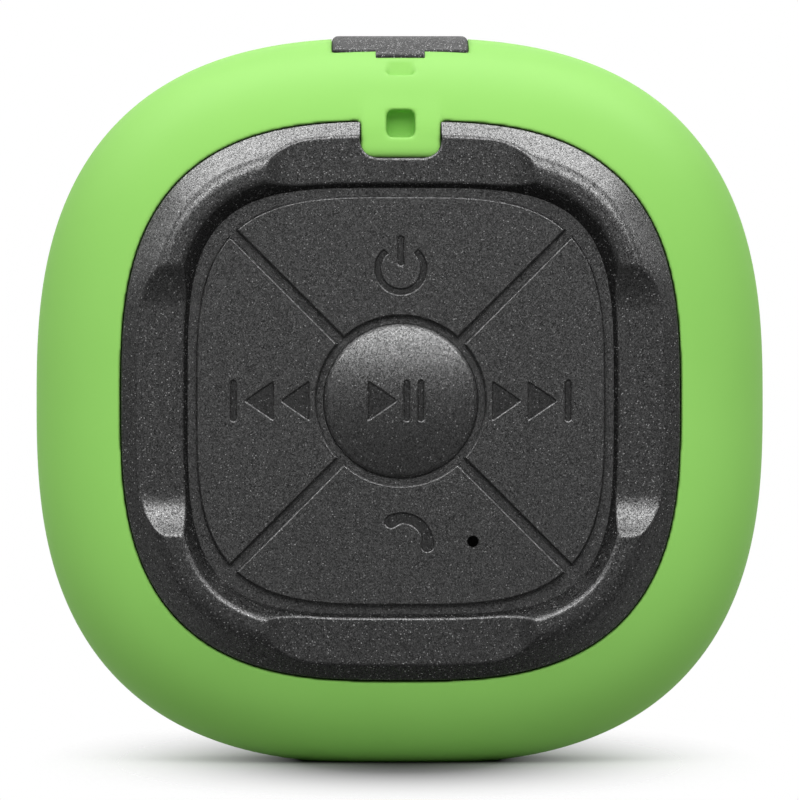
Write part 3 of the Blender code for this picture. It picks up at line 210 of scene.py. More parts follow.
# Housing: two black moulded shells that meet at a rubber seal, held by four long screws
# from the rear. The tray under the port cover drops into the front shell.
HOUSING_ABS = grained("housing_abs", (0.014, 0.014, 0.015), (0.028, 0.028, 0.03), 1600, 0.5, 3e-5)
TRAY_ABS = grained(
    "tray_abs", (0.011, 0.011, 0.012), (0.024, 0.024, 0.026), 2600, 0.55, 3e-5, shine=0.15
)
dress(HOUSING_ABS, "front_housing", "rear_housing")
dress(TRAY_ABS, "port_tray", "aux_socket")
dress(SEAL_FOAM, "housing_seal")
dress(PLATED_STEEL, "usb_socket")


# Screws: zinc-plated self-tappers with a cone head, a cross recess and a cut thread. Four
# hold the board, four the loudspeaker and four pull the two shells together.
CENTRE_Z = 0.0456


def new_tree(name, *inputs):
    """A geometry tree with named inputs; returns it with its input and output nodes."""
    tree = bpy.data.node_groups.new(name, "GeometryNodeTree")
    tree.interface.new_socket("Geometry", in_out="INPUT", socket_type="NodeSocketGeometry")
    for label, kind in inputs:
        tree.interface.new_socket(label, in_out="INPUT", socket_type=f"NodeSocket{kind}")
    tree.interface.new_socket("Geometry", in_out="OUTPUT", socket_type="NodeSocketGeometry")
    start = tree.nodes.new("NodeGroupInput")
    end = tree.nodes.new("NodeGroupOutput")
    return tree, start.outputs, end.inputs["Geometry"]


def step(tree, kind, settings=None, **inputs):
    """Add a node; an input is a number or another node's socket."""
    node = tree.nodes.new(kind)
    for name, value in (settings or {}).items():
        setattr(node, name, value)
    for name, value in inputs.items():
        put(tree, node.inputs[name.replace("_", " ")], value)
    return node


def put(tree, socket, value):
    if isinstance(value, bpy.types.NodeSocket):
        tree.links.new(value, socket)
    else:
        socket.default_value = value


def sum_up(tree, operation, *values):
    """One arithmetic step."""
    node = tree.nodes.new("ShaderNodeMath")
    node.operation = operation
    for socket, value in zip(node.inputs, values):
        put(tree, socket, value)
    return node.outputs[0]


def joined(tree, *parts):
    node = tree.nodes.new("GeometryNodeJoinGeometry")
    for part in reversed(parts):
        tree.links.new(part, node.inputs[0])
    return node.outputs[0]


def close_tree(tree, end, geometry, material):
    real = step(tree, "GeometryNodeRealizeInstances", Geometry=geometry)
    coated = step(tree, "GeometryNodeSetMaterial", Geometry=real.outputs[0], Material=material)
    tree.links.new(coated.outputs[0], end)


def placed(name, data):
    """A new object in the scene."""
    part = bpy.data.objects.new(name, data)
    bpy.context.scene.collection.objects.link(part)
    return part


def grow(name, data, tree, **values):
    """Run a tree on a mesh and keep the result as a plain mesh."""
    seed = placed(name, data)
    change = seed.modifiers.new("grow", "NODES")
    change.node_group = tree
    for item in tree.interface.items_tree:
        label = item.name.replace(" ", "_")
        if item.in_out == "INPUT" and label in values:
            change[item.identifier] = values[label]
    return settled(seed)


def settled(seed):
    """The object's mesh with its modifiers worked in; the object itself goes."""
    graph = bpy.context.evaluated_depsgraph_get()
    data = bpy.data.meshes.new_from_object(seed.evaluated_get(graph), depsgraph=graph)
    bpy.data.objects.remove(seed)
    return data


def piece(name, data, material, body, slot, *nodes, crease=35):
    """Finish a piece: raise it onto its foot, shade it, and set it on its body, if it has one."""
    for vert in data.vertices:
        vert.co.z += CENTRE_Z
    data.name = name
    data.materials.clear()
    data.materials.append(material)
    data.shade_smooth()
    data.set_sharp_from_angle(angle=radians(crease))
    part = placed(name, data)
    if body:
        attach(part, body)
    if nodes:
        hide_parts(*nodes)
    return part


HEAD_TOP = 0.8
HEAD_HEIGHT = 0.68
RECESS_LENGTH = 1.15
RECESS_WIDTH = 0.24
SHANK_RADIUS = 0.5
SHANK_TIP = 0.8
THREAD_PITCH = 0.7
THREAD_RIDGE = 0.13
THREAD_LENGTH = 0.85


def screw_tree():
    """A screw pointing away from its head, set at each point of the seed mesh.

    Head sizes are shares of the head's radius, thread sizes of the shank's radius or length.
    """
    tree, given, end = new_tree(
        "screws", ("Head Radius", "Float"), ("Head Height", "Float"), ("Shank Radius", "Float"),
        ("Length", "Float"), ("Lay", "Rotation"), ("Material", "Material"),
    )
    head_radius = given["Head Radius"]
    height = given["Head Height"]
    shank_radius = given["Shank Radius"]
    length = given["Length"]
    head = step(
        tree, "GeometryNodeMeshCone", Vertices=28, Radius_Bottom=head_radius,
        Radius_Top=sum_up(tree, "MULTIPLY", head_radius, HEAD_TOP), Depth=height,
    )
    cut = step(tree, "GeometryNodeMeshBoolean", {"operation": "DIFFERENCE", "solver": "EXACT"})
    tree.links.new(head.outputs[0], cut.inputs[0])
    for turn in (0.0, pi / 2):
        size = step(
            tree, "ShaderNodeCombineXYZ", X=sum_up(tree, "MULTIPLY", head_radius, RECESS_LENGTH),
            Y=sum_up(tree, "MULTIPLY", head_radius, RECESS_WIDTH), Z=height,
        )
        blade = step(tree, "GeometryNodeMeshCube", Size=size.outputs[0])
        lift = step(tree, "ShaderNodeCombineXYZ", Z=height)
        slot = step(
            tree, "GeometryNodeTransform", Geometry=blade.outputs[0], Translation=lift.outputs[0],
            Rotation=(0.0, 0.0, turn),
        )
        tree.links.new(slot.outputs[0], cut.inputs[1])
    down = step(tree, "ShaderNodeCombineXYZ", Z=sum_up(tree, "MULTIPLY", length, -1.0))
    shank = step(
        tree, "GeometryNodeMeshCone", Vertices=20, Radius_Top=shank_radius,
        Radius_Bottom=sum_up(tree, "MULTIPLY", shank_radius, SHANK_TIP), Depth=length,
    )
    pitch = sum_up(tree, "MULTIPLY", shank_radius, THREAD_PITCH)
    ridge = step(
        tree, "GeometryNodeCurveSpiral", Resolution=16, Rotations=sum_up(tree, "DIVIDE", length, pitch),
        Start_Radius=shank_radius, End_Radius=shank_radius,
        Height=sum_up(tree, "MULTIPLY", length, THREAD_LENGTH),
    )
    wire = step(
        tree, "GeometryNodeCurvePrimitiveCircle", {"mode": "RADIUS"}, Resolution=3,
        Radius=sum_up(tree, "MULTIPLY", shank_radius, THREAD_RIDGE),
    )
    thread = step(
        tree, "GeometryNodeCurveToMesh", Curve=ridge.outputs[0], Profile_Curve=wire.outputs[0],
        Fill_Caps=True,
    )
    lowered = [
        step(
            tree, "GeometryNodeTransform", Geometry=part.outputs[0], Translation=down.outputs[0]
        ).outputs[0]
        for part in (shank, thread)
    ]
    spread = step(
        tree, "GeometryNodeInstanceOnPoints", Points=given["Geometry"],
        Instance=joined(tree, cut.outputs[0], *lowered), Rotation=given["Lay"],
    )
    close_tree(tree, end, spread.outputs[0], given["Material"])
    return tree


SCREWS = screw_tree()


def add_screws(group, faces_front):
    """Four screws of one group, sized from the solids that they stand for."""
    nodes = [f"{group}_screw_{number}" for number in range(1, 5)]
    seed = bpy.data.meshes.new(f"{group}_screw_spots")
    spots = []
    for node in nodes:
        low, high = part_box(node)
        radius = (high.x - low.x) / 2
        head = low.y if faces_front else high.y
        tip = high.y if faces_front else low.y
        spots.append(((low.x + high.x) / 2, head, (low.z + high.z) / 2 - CENTRE_Z))
    height = radius * HEAD_HEIGHT
    inwards = 1.0 if faces_front else -1.0
    seed.from_pydata([(x, y + inwards * height, z) for x, y, z in spots], [], [])
    data = grow(
        f"{group}_screw_seed", seed, SCREWS, Head_Radius=radius, Head_Height=height,
        Shank_Radius=radius * SHANK_RADIUS, Length=abs(tip - head) - height,
        Lay=(radians(90.0 if faces_front else -90.0), 0.0, 0.0), Material=PLATED_STEEL,
    )
    piece(f"{group}_screws", data, PLATED_STEEL, "speaker", "plated_steel", *nodes)


add_screws("board", True)
add_screws("driver", False)
add_screws("housing", False)


# Keypad web: the soft rubber floor of the grooves, clamped under the bezel. It is moulded in
# one with the keys on the real product, so it closes right up to each key.
WEB_HALF = 0.0288
WEB_POWER = 3.4
WEB_LIFT = 0.0202
WEB_THICK = 0.0008
WEB_GAP = 0.00003
WINDOW_REACH = 0.002
KEYPAD_HALF = 0.02545
KEYPAD_POWER = 3.52
RING_RADIUS = 0.01054
PLAY_RADIUS = 0.00964
DIAGONAL_GROOVE = 0.00108
OUTER_STEPS = 30
INNER_STEPS = 15
PLATE_STEPS = 144
PLAY_STEPS = 120


def reach(half, power, angle):
    """How far a rounded square's edge lies from its centre at an angle."""
    return half / (abs(cos(angle)) ** power + abs(sin(angle)) ** power) ** (1 / power)


def rounded_square(half, power, count):
    angles = [2 * pi * i / count for i in range(count)]
    return [(reach(half, power, a) * cos(a), reach(half, power, a) * sin(a)) for a in angles]


def circle(radius, count):
    return rounded_square(radius, 2.0, count)


def quarter_outline(direction, grow_by):
    """A quarter key: an outer arc, two groove edges and an inner arc, as (x, z) points."""
    inner = RING_RADIUS - grow_by
    half = KEYPAD_HALF + grow_by
    edge = DIAGONAL_GROOVE / 2 - grow_by
    inner_turn = pi / 4 - asin(edge / inner)
    outer_turn = pi / 4
    for _ in range(12):
        outer_turn = pi / 4 - asin(edge / reach(half, KEYPAD_POWER, outer_turn))
    points = []
    for i in range(2 * OUTER_STEPS + 1):
        angle = outer_turn * (i / OUTER_STEPS - 1)
        radius = reach(half, KEYPAD_POWER, angle)
        points.append((radius * cos(angle), radius * sin(angle)))
    for i in range(2 * INNER_STEPS + 1):
        angle = inner_turn * (1 - i / INNER_STEPS)
        points.append((inner * cos(angle), inner * sin(angle)))
    turn = direction * pi / 2
    return [(x * cos(turn) - z * sin(turn), x * sin(turn) + z * cos(turn)) for x, z in points]


def loft(mesh, rows):
    """Skin a closed body between rows of points and cap both ends."""
    rings = [[mesh.verts.new(point) for point in row] for row in rows]
    for low, high in zip(rings, rings[1:]):
        for i in range(len(low)):
            mesh.faces.new((low[i - 1], low[i], high[i], high[i - 1]))
    mesh.faces.new(rings[0])
    mesh.faces.new(rings[-1])


def at_lift(points, lift):
    return [(x, -lift, z) for x, z in points]


def body_of(name, mesh):
    """A scratch object of a closed mesh, its faces turned outwards."""
    bmesh.ops.recalc_face_normals(mesh, faces=mesh.faces[:])
    data = bpy.data.meshes.new(name)
    mesh.to_mesh(data)
    mesh.free()
    return placed(name, data)


def lofted(name, *bodies):
    """A scratch object of closed bodies, each skinned between its own rows of points."""
    mesh = bmesh.new()
    for rows in bodies:
        loft(mesh, rows)
    return body_of(name, mesh)


def cut_in(part, tool, operation):
    """Plan the cut of a tool into a body, or their join."""
    change = part.modifiers.new(tool.name, "BOOLEAN")
    change.operation = operation
    change.object = tool
    change.solver = "EXACT"


def carve(part, tools, operation="DIFFERENCE"):
    """Cut or join closed bodies; returns the plain mesh and removes the scratch objects."""
    for tool in tools:
        cut_in(part, tool, operation)
    data = settled(part)
    for tool in tools:
        bpy.data.objects.remove(tool)
    return data


PEBBLE_SCALE = 7000.0
PEBBLE_DEPTH = 1.2e-5
FACET_SCALE = 9000.0
FACET_SPREAD = 0.1
SUNK_GLOSS = 0.5


def speckled(name, black, roughness, shine, share=0.02, painted_glint=0.2):
    """Spark-eroded black plastic: fine pebbles, each facet of its own gloss; a share of the facets is
    painted pale as painted glints.

    Where the mesh carries a "sunk" value there is less gloss, which looks darker.
    """
    material, shader = finish(name, (black, black, black), roughness)
    nodes = material.node_tree.nodes
    links = material.node_tree.links
    pebbles = texture(material, "ShaderNodeTexNoise", scale=PEBBLE_SCALE, detail=2.0, roughness=0.6)
    facets = texture(material, "ShaderNodeTexVoronoi", scale=FACET_SCALE)
    tone = nodes.new("ShaderNodeSeparateColor")
    links.new(facets.outputs["Color"], tone.inputs[0])
    cloud = between(material, pebbles.outputs["Fac"], 0.0, 1.0, 0.35, 0.68)
    ground = blend_colours(material, cloud, (black * 0.4,) * 3, (black * 1.8,) * 3)
    # Painted glints: a share of the facets is painted pale in the base colour, standing in for sparkle
    # in the light.
    painted_glint_spots = between(material, tone.outputs[0], 0.0, 1.0, 1.0 - share, 1.0)
    links.new(blend_colours(material, painted_glint_spots, ground, (painted_glint,) * 3), shader.inputs["Base Color"])
    links.new(
        between(material, tone.outputs[1], roughness - FACET_SPREAD, roughness + FACET_SPREAD, 0.0, 1.0),
        shader.inputs["Roughness"],
    )
    gloss = between(material, tone.outputs[2], shine * 0.1, shine * 1.9, 0.0, 1.0)
    sunk = nodes.new("ShaderNodeAttribute")
    sunk.attribute_name = "sunk"
    kept = between(material, sunk.outputs["Fac"], 1.0, SUNK_GLOSS, 0.0, 1.0)
    dulled = sum_up(material.node_tree, "MULTIPLY", gloss, kept)
    links.new(dulled, shader.inputs["Specular IOR Level"])
    relief(material, shader, pebbles.outputs["Fac"], PEBBLE_DEPTH)
    return material


KEY_BLACK = speckled("key_black", 0.0115, 0.32, 0.21)
web = lofted("web", [
    at_lift(rounded_square(WEB_HALF, WEB_POWER, PLATE_STEPS), lift)
    for lift in (WEB_LIFT - WEB_THICK, WEB_LIFT)
])
window_lines = [quarter_outline(direction, WEB_GAP) for direction in range(4)]
window_lines.append(circle(PLAY_RADIUS + WEB_GAP, PLAY_STEPS))
windows = lofted("web_windows", *[
    [at_lift(outline, lift) for lift in (WEB_LIFT - WINDOW_REACH, WEB_LIFT + WINDOW_REACH)]
    for outline in window_lines
])
web_data = carve(web, [windows])
piece("keypad_web", web_data, KEY_BLACK, "speaker", "dark_rubber", "keypad_mat")


# Keys: four flat quarter keys and a domed middle one, moulded in matt black on the web. Their
# edges have a small radius, and the eased upper edge of the sunk symbols catches the light.
KEY_LIFT = 0.0211
KEY_ROOT = 0.0192
KEY_EDGE = 0.00022
EDGE_ROWS = ((0.0, 1.15), (0.08, 0.95), (0.92, 0.1), (1.15, 0.0))
SYMBOL_DEPTH = 0.00026
SYMBOL_WALL = (
    (-0.00006, SYMBOL_DEPTH), (0.00003, 0.00006), (0.00014, 0.000005), (0.00035, -0.0002),
)
SYMBOL_CORNER = 0.00016
FLOOR_LEAST = 0.7 * SYMBOL_DEPTH
FLOOR_MOST = 1.6 * SYMBOL_DEPTH
FLOOR_FACING = -0.9
ARROW_HALF = 0.00243
BAR_HALF = 0.00255
SKIP_STROKE = 0.00072
PAUSE_STROKE = 0.0007
MIC_X = 0.00897
MIC_Z = -0.0175
MIC_RADIUS = 0.00069
MIC_FLARE = 0.00016
MIC_STEPS = 28
MIC_WALL = (
    (MIC_RADIUS, KEY_ROOT - 0.001), (MIC_RADIUS, KEY_LIFT - 0.0001),
    (MIC_RADIUS + MIC_FLARE, KEY_LIFT + 0.0001),
)
NEARLY_STRAIGHT = 2.6
LONGEST_EASE = 0.48


def turned_left(points):
    """The outline, anticlockwise."""
    area = sum(a[0] * b[1] - b[0] * a[1] for a, b in zip(points, points[1:] + points[:1]))
    return points if area > 0 else points[::-1]


def corner_curve(start, corner, stop, count):
    """Points along the parabola that eases a corner."""
    shares = [k / count for k in range(count + 1)]
    return [start * (1 - t) ** 2 + corner * 2 * t * (1 - t) + stop * t ** 2 for t in shares]


def eased(points, radius, count=5):
    """The outline with its corners rounded."""
    points = turned_left(points)
    smooth = []
    for i, point in enumerate(points):
        corner = Vector(point)
        before = Vector(points[i - 1]) - corner
        after = Vector(points[(i + 1) % len(points)]) - corner
        turn = before.angle(after)
        if turn > NEARLY_STRAIGHT or radius <= 0:
            smooth.append(tuple(corner))
            continue
        back = min(radius / tan(turn / 2), LONGEST_EASE * min(before.length, after.length))
        start = corner + before.normalized() * back
        stop = corner + after.normalized() * back
        smooth += [tuple(spot) for spot in corner_curve(start, corner, stop, count)]
    return smooth


def widened(points, by):
    """The outline moved outwards along its own normals."""
    moved = []
    for i, point in enumerate(points):
        here = Vector(point)
        ahead = (Vector(points[(i + 1) % len(points)]) - here).normalized()
        behind = (here - Vector(points[i - 1])).normalized()
        first = Vector((behind.y, -behind.x))
        second = Vector((ahead.y, -ahead.x))
        moved.append(tuple(here + (first + second) * by / (1 + first.dot(second))))
    return moved


def band(centre, inner, outer, start, stop, count=28):
    """A strip along an arc; inner and outer radii may change along it."""
    near = []
    far = []
    for i in range(count + 1):
        t = i / count
        angle = radians(start + (stop - start) * t)
        near.append((centre[0] + inner(t) * cos(angle), centre[1] + inner(t) * sin(angle)))
        far.append((centre[0] + outer(t) * cos(angle), centre[1] + outer(t) * sin(angle)))
    return far + near[::-1]


def bar(x, low, high, width):
    """An upright stroke with round ends."""
    half = width / 2
    points = [(x + half * cos(a), high - half + half * sin(a)) for a in arc_turns(0)]
    return points + [(x + half * cos(a), low + half + half * sin(a)) for a in arc_turns(pi)]


def arc_turns(start):
    return [start + pi * i / 8 for i in range(9)]


def arrow(base, tip, half_height):
    return [(base, -half_height), (tip, 0.0), (base, half_height)]


def skip_symbol(side):
    return [
        arrow(side * 0.0114, side * 0.0149, ARROW_HALF),
        arrow(side * 0.01582, side * 0.01937, ARROW_HALF),
        bar(side * 0.0208, -BAR_HALF, BAR_HALF, SKIP_STROKE),
    ]


def power_symbol():
    """A ring that is open at the top, with a stroke in the gap."""
    centre = (0.0, 0.0164)
    inner, outer = 0.00249, 0.00323
    start, stop = 131, 409
    ring = band(centre, lambda t: inner, lambda t: outer, start, stop, 40)
    return [turned_left(ring), bar(0.0, 0.0168, 0.0205, outer - inner)]


def call_symbol():
    """A handset: an arc that swells inwards to a round end at the ear and the mouth."""
    centre = (0.00013, -0.0179)
    start, stop = -2.0, 115.0
    outer = 0.00395
    waist = 0.00271
    swell = 0.00032
    swell_run = 0.24
    count = 20

    def inner(t):
        end = max(0.0, 1 - min(t, 1 - t) / swell_run)
        return waist - swell * end * end * (3 - 2 * end)

    strip = band(centre, inner, lambda t: outer, start, stop, count)
    far, near = strip[:count + 1], strip[count + 1:]
    half = (outer - inner(0)) / 2
    middle = (outer + inner(0)) / 2
    ends = []
    for angle, first in ((radians(stop), radians(stop)), (radians(start), radians(start) + pi)):
        x = centre[0] + middle * cos(angle)
        z = centre[1] + middle * sin(angle)
        ends.append([
            (x + half * cos(a), z + half * sin(a)) for a in arc_turns(first)[1:-1]
        ])
    return [far + ends[0] + near + ends[1]]


def play_symbol():
    return [
        arrow(-0.00403, -0.00049, ARROW_HALF),
        bar(0.00073, -BAR_HALF, BAR_HALF, PAUSE_STROKE),
        bar(0.0025, -BAR_HALF, BAR_HALF, PAUSE_STROKE),
    ]


def symbol_tool(name, shapes, surface):
    """A cutter for sunk symbols; the floor keeps one depth under the surface."""
    bodies = []
    for shape in shapes:
        rows = []
        for by, drop in SYMBOL_WALL:
            outline = eased(widened(turned_left(shape), by), SYMBOL_CORNER + by)
            rows.append([(x, -(surface(x, z) - drop), z) for x, z in outline])
        bodies.append(rows)
    return lofted(name, *bodies)


def mark_sunk(data, surface):
    """Note which faces are floors of the symbols."""
    sunk = data.attributes.new("sunk", "FLOAT", "FACE")
    for face in data.polygons:
        below = surface(face.center.x, face.center.z) + face.center.y
        floor_like = FLOOR_LEAST < below < FLOOR_MOST and face.normal.y < FLOOR_FACING
        sunk.data[face.index].value = 1.0 if floor_like else 0.0


def key_edges(outline_at, top):
    """Rows from the root up over the bevelled edge of a flat key."""
    rows = [at_lift(outline_at(0.0), KEY_ROOT)]
    for inwards, below in EDGE_ROWS:
        rows.append(at_lift(outline_at(-KEY_EDGE * inwards), top - KEY_EDGE * below))
    return rows


def add_quarter_key(key, direction, shapes):
    blank = lofted(f"{key}_blank", key_edges(lambda by: quarter_outline(direction, by), KEY_LIFT))
    tools = [symbol_tool(f"{key}_symbol", shapes, lambda x, z: KEY_LIFT)]
    if key == "call":
        tools.append(lofted("mic_hole", [
            at_lift([(x + MIC_X, z + MIC_Z) for x, z in circle(radius, MIC_STEPS)], lift)
            for radius, lift in MIC_WALL
        ]))
    data = carve(blank, tools)
    mark_sunk(data, lambda x, z: KEY_LIFT)
    piece(
        f"{key}_keytop", data, KEY_BLACK, f"{key}_button", "black_panel", f"{key}_key", crease=12
    )


add_quarter_key("power", 1, power_symbol())
add_quarter_key("previous", 2, skip_symbol(-1))
add_quarter_key("next", 0, skip_symbol(1))
add_quarter_key("call", 3, call_symbol())

DOME_RISE = 0.00135
DOME_EDGE = 0.02042
DOME_SIDE_END = DOME_EDGE - 0.00005
DOME_LIP = 0.00022
DOME_ROUND = 0.0003
DOME_ROUND_RISE = 0.0002
DOME_ROWS = 30
DOME_CURVE = (PLAY_RADIUS ** 2 + DOME_RISE ** 2) / (2 * DOME_RISE)
DOME_TOP = DOME_EDGE + DOME_LIP + DOME_RISE


def dome_lift(x, z):
    return DOME_TOP - DOME_CURVE + sqrt(DOME_CURVE ** 2 - x * x - z * z)


dome_rows = [(PLAY_RADIUS, KEY_ROOT), (PLAY_RADIUS, DOME_SIDE_END)]
for i in range(1, 4):
    turn = pi / 2 * i / 4
    dome_rows.append((
        PLAY_RADIUS - DOME_ROUND * (1 - cos(turn)), DOME_EDGE + DOME_ROUND_RISE * sin(turn),
    ))
for i in range(DOME_ROWS):
    radius = (PLAY_RADIUS - DOME_ROUND) * (1 - i / DOME_ROWS)
    dome_rows.append((radius, dome_lift(radius, 0.0)))
dome = lofted("play_blank", [
    at_lift(circle(radius, PLAY_STEPS), lift) for radius, lift in dome_rows
])
dome_data = carve(dome, [symbol_tool("play_symbol", play_symbol(), dome_lift)])
mark_sunk(dome_data, dome_lift)
piece("play_keytop", dome_data, KEY_BLACK, "play_button", "black_panel", "play_key")


# Front bezel: one black moulding that clamps the keypad. Its rounded-square section rises
# to a crest at the corners and is scooped down to the keys on its four sides.
PANEL_BLACK = speckled("panel_black", 0.008, 0.32, 0.2, 0.035, 0.25)
CREST_LIFT = 0.023
PLATEAU_LIFT = 0.0212
BEZEL_FOOT = 0.0182
BEZEL_SEAT = 0.02022
BEZEL_STEPS = 640
BEZEL_SPACING = 0.00026
SCOOP_FLAT = 0.0113
SCOOP_RADIUS = 0.009
SCOOP_SOFTEN = 0.00016
SECTION_EASE = 0.45
MERGE = 1e-7


def ring_tree():
    """Sweep a section round a rounded square, then press four scoops into it.

    Each point of the seed mesh is one row: half-width, lift and how square the row is.
    """
    tree, given, end = new_tree(
        "rounded_ring", ("Steps", "Int"), ("Side", "Float"), ("Scoop Floor", "Float"),
        ("Scoop Flat", "Float"), ("Scoop Radius", "Float"), ("Soften", "Float"),
        ("Material", "Material"),
    )
    size = step(tree, "GeometryNodeAttributeDomainSize", Geometry=given["Geometry"])
    around = sum_up(tree, "ADD", given["Steps"], 1.0)
    grid = step(
        tree, "GeometryNodeMeshGrid", Vertices_X=size.outputs["Point Count"], Vertices_Y=around,
    )
    index = step(tree, "GeometryNodeInputIndex").outputs[0]
    row = sum_up(tree, "FLOOR", sum_up(tree, "DIVIDE", sum_up(tree, "ADD", index, 0.5), around))
    column = sum_up(tree, "SUBTRACT", index, sum_up(tree, "MULTIPLY", row, around))
    angle = sum_up(tree, "MULTIPLY", sum_up(tree, "DIVIDE", column, given["Steps"]), 2 * pi)
    place = step(tree, "GeometryNodeInputPosition")
    sample = step(
        tree, "GeometryNodeSampleIndex", {"data_type": "FLOAT_VECTOR"}, Geometry=given["Geometry"],
        Value=place.outputs[0], Index=row,
    )
    section = step(tree, "ShaderNodeSeparateXYZ", Vector=sample.outputs[0])
    half, lift, power = section.outputs
    wide = sum_up(tree, "COSINE", angle)
    high = sum_up(tree, "SINE", angle)
    square = sum_up(
        tree, "ADD",
        sum_up(tree, "POWER", sum_up(tree, "ABSOLUTE", wide), power),
        sum_up(tree, "POWER", sum_up(tree, "ABSOLUTE", high), power),
    )
    root = sum_up(tree, "POWER", square, sum_up(tree, "DIVIDE", 1.0, power))
    radius = sum_up(tree, "DIVIDE", half, root)
    x = sum_up(tree, "MULTIPLY", radius, wide)
    z = sum_up(tree, "MULTIPLY", radius, high)
    scoop_radius = given["Scoop Radius"]
    scoop_square = sum_up(tree, "MULTIPLY", scoop_radius, scoop_radius)
    for along in (x, z):
        run = sum_up(tree, "SUBTRACT", sum_up(tree, "ABSOLUTE", along), given["Scoop Flat"])
        run = sum_up(tree, "MINIMUM", sum_up(tree, "MAXIMUM", run, 0.0), scoop_radius)
        left = sum_up(tree, "SUBTRACT", scoop_square, sum_up(tree, "MULTIPLY", run, run))
        rise = sum_up(tree, "SUBTRACT", scoop_radius, sum_up(tree, "SQRT", left))
        scoop = sum_up(tree, "ADD", given["Scoop Floor"], rise)
        lift = sum_up(tree, "SMOOTH_MIN", lift, scoop, given["Soften"])
    depth = sum_up(tree, "MULTIPLY", lift, given["Side"])
    spot = step(tree, "ShaderNodeCombineXYZ", X=x, Y=depth, Z=z)
    swept = step(
        tree, "GeometryNodeSetPosition", Geometry=grid.outputs[0], Position=spot.outputs[0],
    )
    shut = step(tree, "GeometryNodeMergeByDistance", Geometry=swept.outputs[0], Distance=MERGE)
    close_tree(tree, end, shut.outputs[0], given["Material"])
    return tree


RING = ring_tree()


def section(corners, spacing):
    """Rows along a closed section; each corner is (half, lift, power, rounding)."""
    rounded = []
    for i, (half, lift, power, radius) in enumerate(corners):
        here = Vector((half, lift))
        before = Vector(corners[i - 1][:2]) - here
        after = Vector(corners[(i + 1) % len(corners)][:2]) - here
        back = min(radius, SECTION_EASE * before.length, SECTION_EASE * after.length)
        if back <= 0:
            rounded.append((half, lift, power))
            continue
        start = here + before.normalized() * back
        stop = here + after.normalized() * back
        rounded += [(spot.x, spot.y, power) for spot in corner_curve(start, here, stop, 4)]
    rows = []
    for i, first in enumerate(rounded):
        second = rounded[(i + 1) % len(rounded)]
        length = (Vector(second[:2]) - Vector(first[:2])).length
        count = max(1, round(length / spacing))
        for k in range(count):
            t = k / count
            rows.append(tuple(a + (b - a) * t for a, b in zip(first, second)))
    return rows + [rows[0]]


def turned_out(data):
    """The same mesh with its doubles merged and its faces turned outwards."""
    mesh = bmesh.new()
    mesh.from_mesh(data)
    bmesh.ops.remove_doubles(mesh, verts=mesh.verts[:], dist=MERGE)
    bmesh.ops.recalc_face_normals(mesh, faces=mesh.faces[:])
    mesh.to_mesh(data)
    mesh.free()
    return data


def bezel_data(name, side):
    seed = bpy.data.meshes.new(f"{name}_section")
    corners = (
        (0.0348, BEZEL_FOOT, 2.93, 0.0),
        (0.0348, 0.0194, 2.93, 0.0002),
        (0.0310, CREST_LIFT, 3.3, 0.0009),
        (0.02827, CREST_LIFT, 3.73, 0.0004),
        (0.02647, BEZEL_SEAT, 3.93, 0.0001),
        (0.0272, BEZEL_SEAT, 3.8, 0.0),
        (0.0290, 0.0205, 3.5, 0.0),
        (0.0300, BEZEL_FOOT, 3.4, 0.0),
    )
    seed.from_pydata(section(corners, BEZEL_SPACING), [], [])
    data = grow(
        f"{name}_seed", seed, RING, Steps=BEZEL_STEPS, Side=side, Scoop_Floor=PLATEAU_LIFT,
        Scoop_Flat=SCOOP_FLAT, Scoop_Radius=SCOOP_RADIUS, Soften=SCOOP_SOFTEN,
        Material=PANEL_BLACK,
    )
    return turned_out(data)


TAB_HALF = 0.005
TAB_END = 0.0303
TAB_CORNER = 0.0027
NOTCH_GAP = 0.0001
NOTCH_HALF = TAB_HALF + NOTCH_GAP
NOTCH_TOP = 0.046
NOTCH_WALL = (
    (0.0, 0.016),
    (0.0, PLATEAU_LIFT - 0.00022),
    (0.00008, PLATEAU_LIFT - 0.00006),
    (0.0004, PLATEAU_LIFT + 0.0001),
    (0.0005, 0.025),
)
notch_line = eased([
    (-NOTCH_HALF, NOTCH_TOP), (-NOTCH_HALF, TAB_END - NOTCH_GAP),
    (NOTCH_HALF, TAB_END - NOTCH_GAP), (NOTCH_HALF, NOTCH_TOP),
], TAB_CORNER, 10)
notch = lofted("notch", [at_lift(widened(notch_line, by), lift) for by, lift in NOTCH_WALL])
front_data = carve(placed("front_bezel_blank", bezel_data("front_bezel", -1.0)), [notch])
piece("front_rim", front_data, PANEL_BLACK, "speaker", "black_panel", "front_bezel", crease=50)


# Rear face: a woven dust cloth, a punched and powder-coated steel grille with rolled hole
# edges, and a second bezel like the front one, without the notch.
GRILLE_COAT = speckled("grille_coat", 0.012, 0.4, 0.3)
DUST_CLOTH = woven("dust_cloth", (0.004, 0.004, 0.004), (0.02, 0.02, 0.02), 0.00035, 0.85)
dress(DUST_CLOTH, "acoustic_mesh")
GRILLE_HALF = 0.029
GRILLE_POWER = 3.4
GRILLE_LIFT = 0.0202
GRILLE_THICK = 0.001
HOLE_PITCH = 0.0054
HOLE_RINGS = 4
HOLE_STEPS = 24
HOLE_WALL = (
    (0.0017, -0.002), (0.0017, -0.00028), (0.00176, -0.00014), (0.0019, -0.00004),
    (0.0022, 0.00005), (0.0026, 0.0004),
)


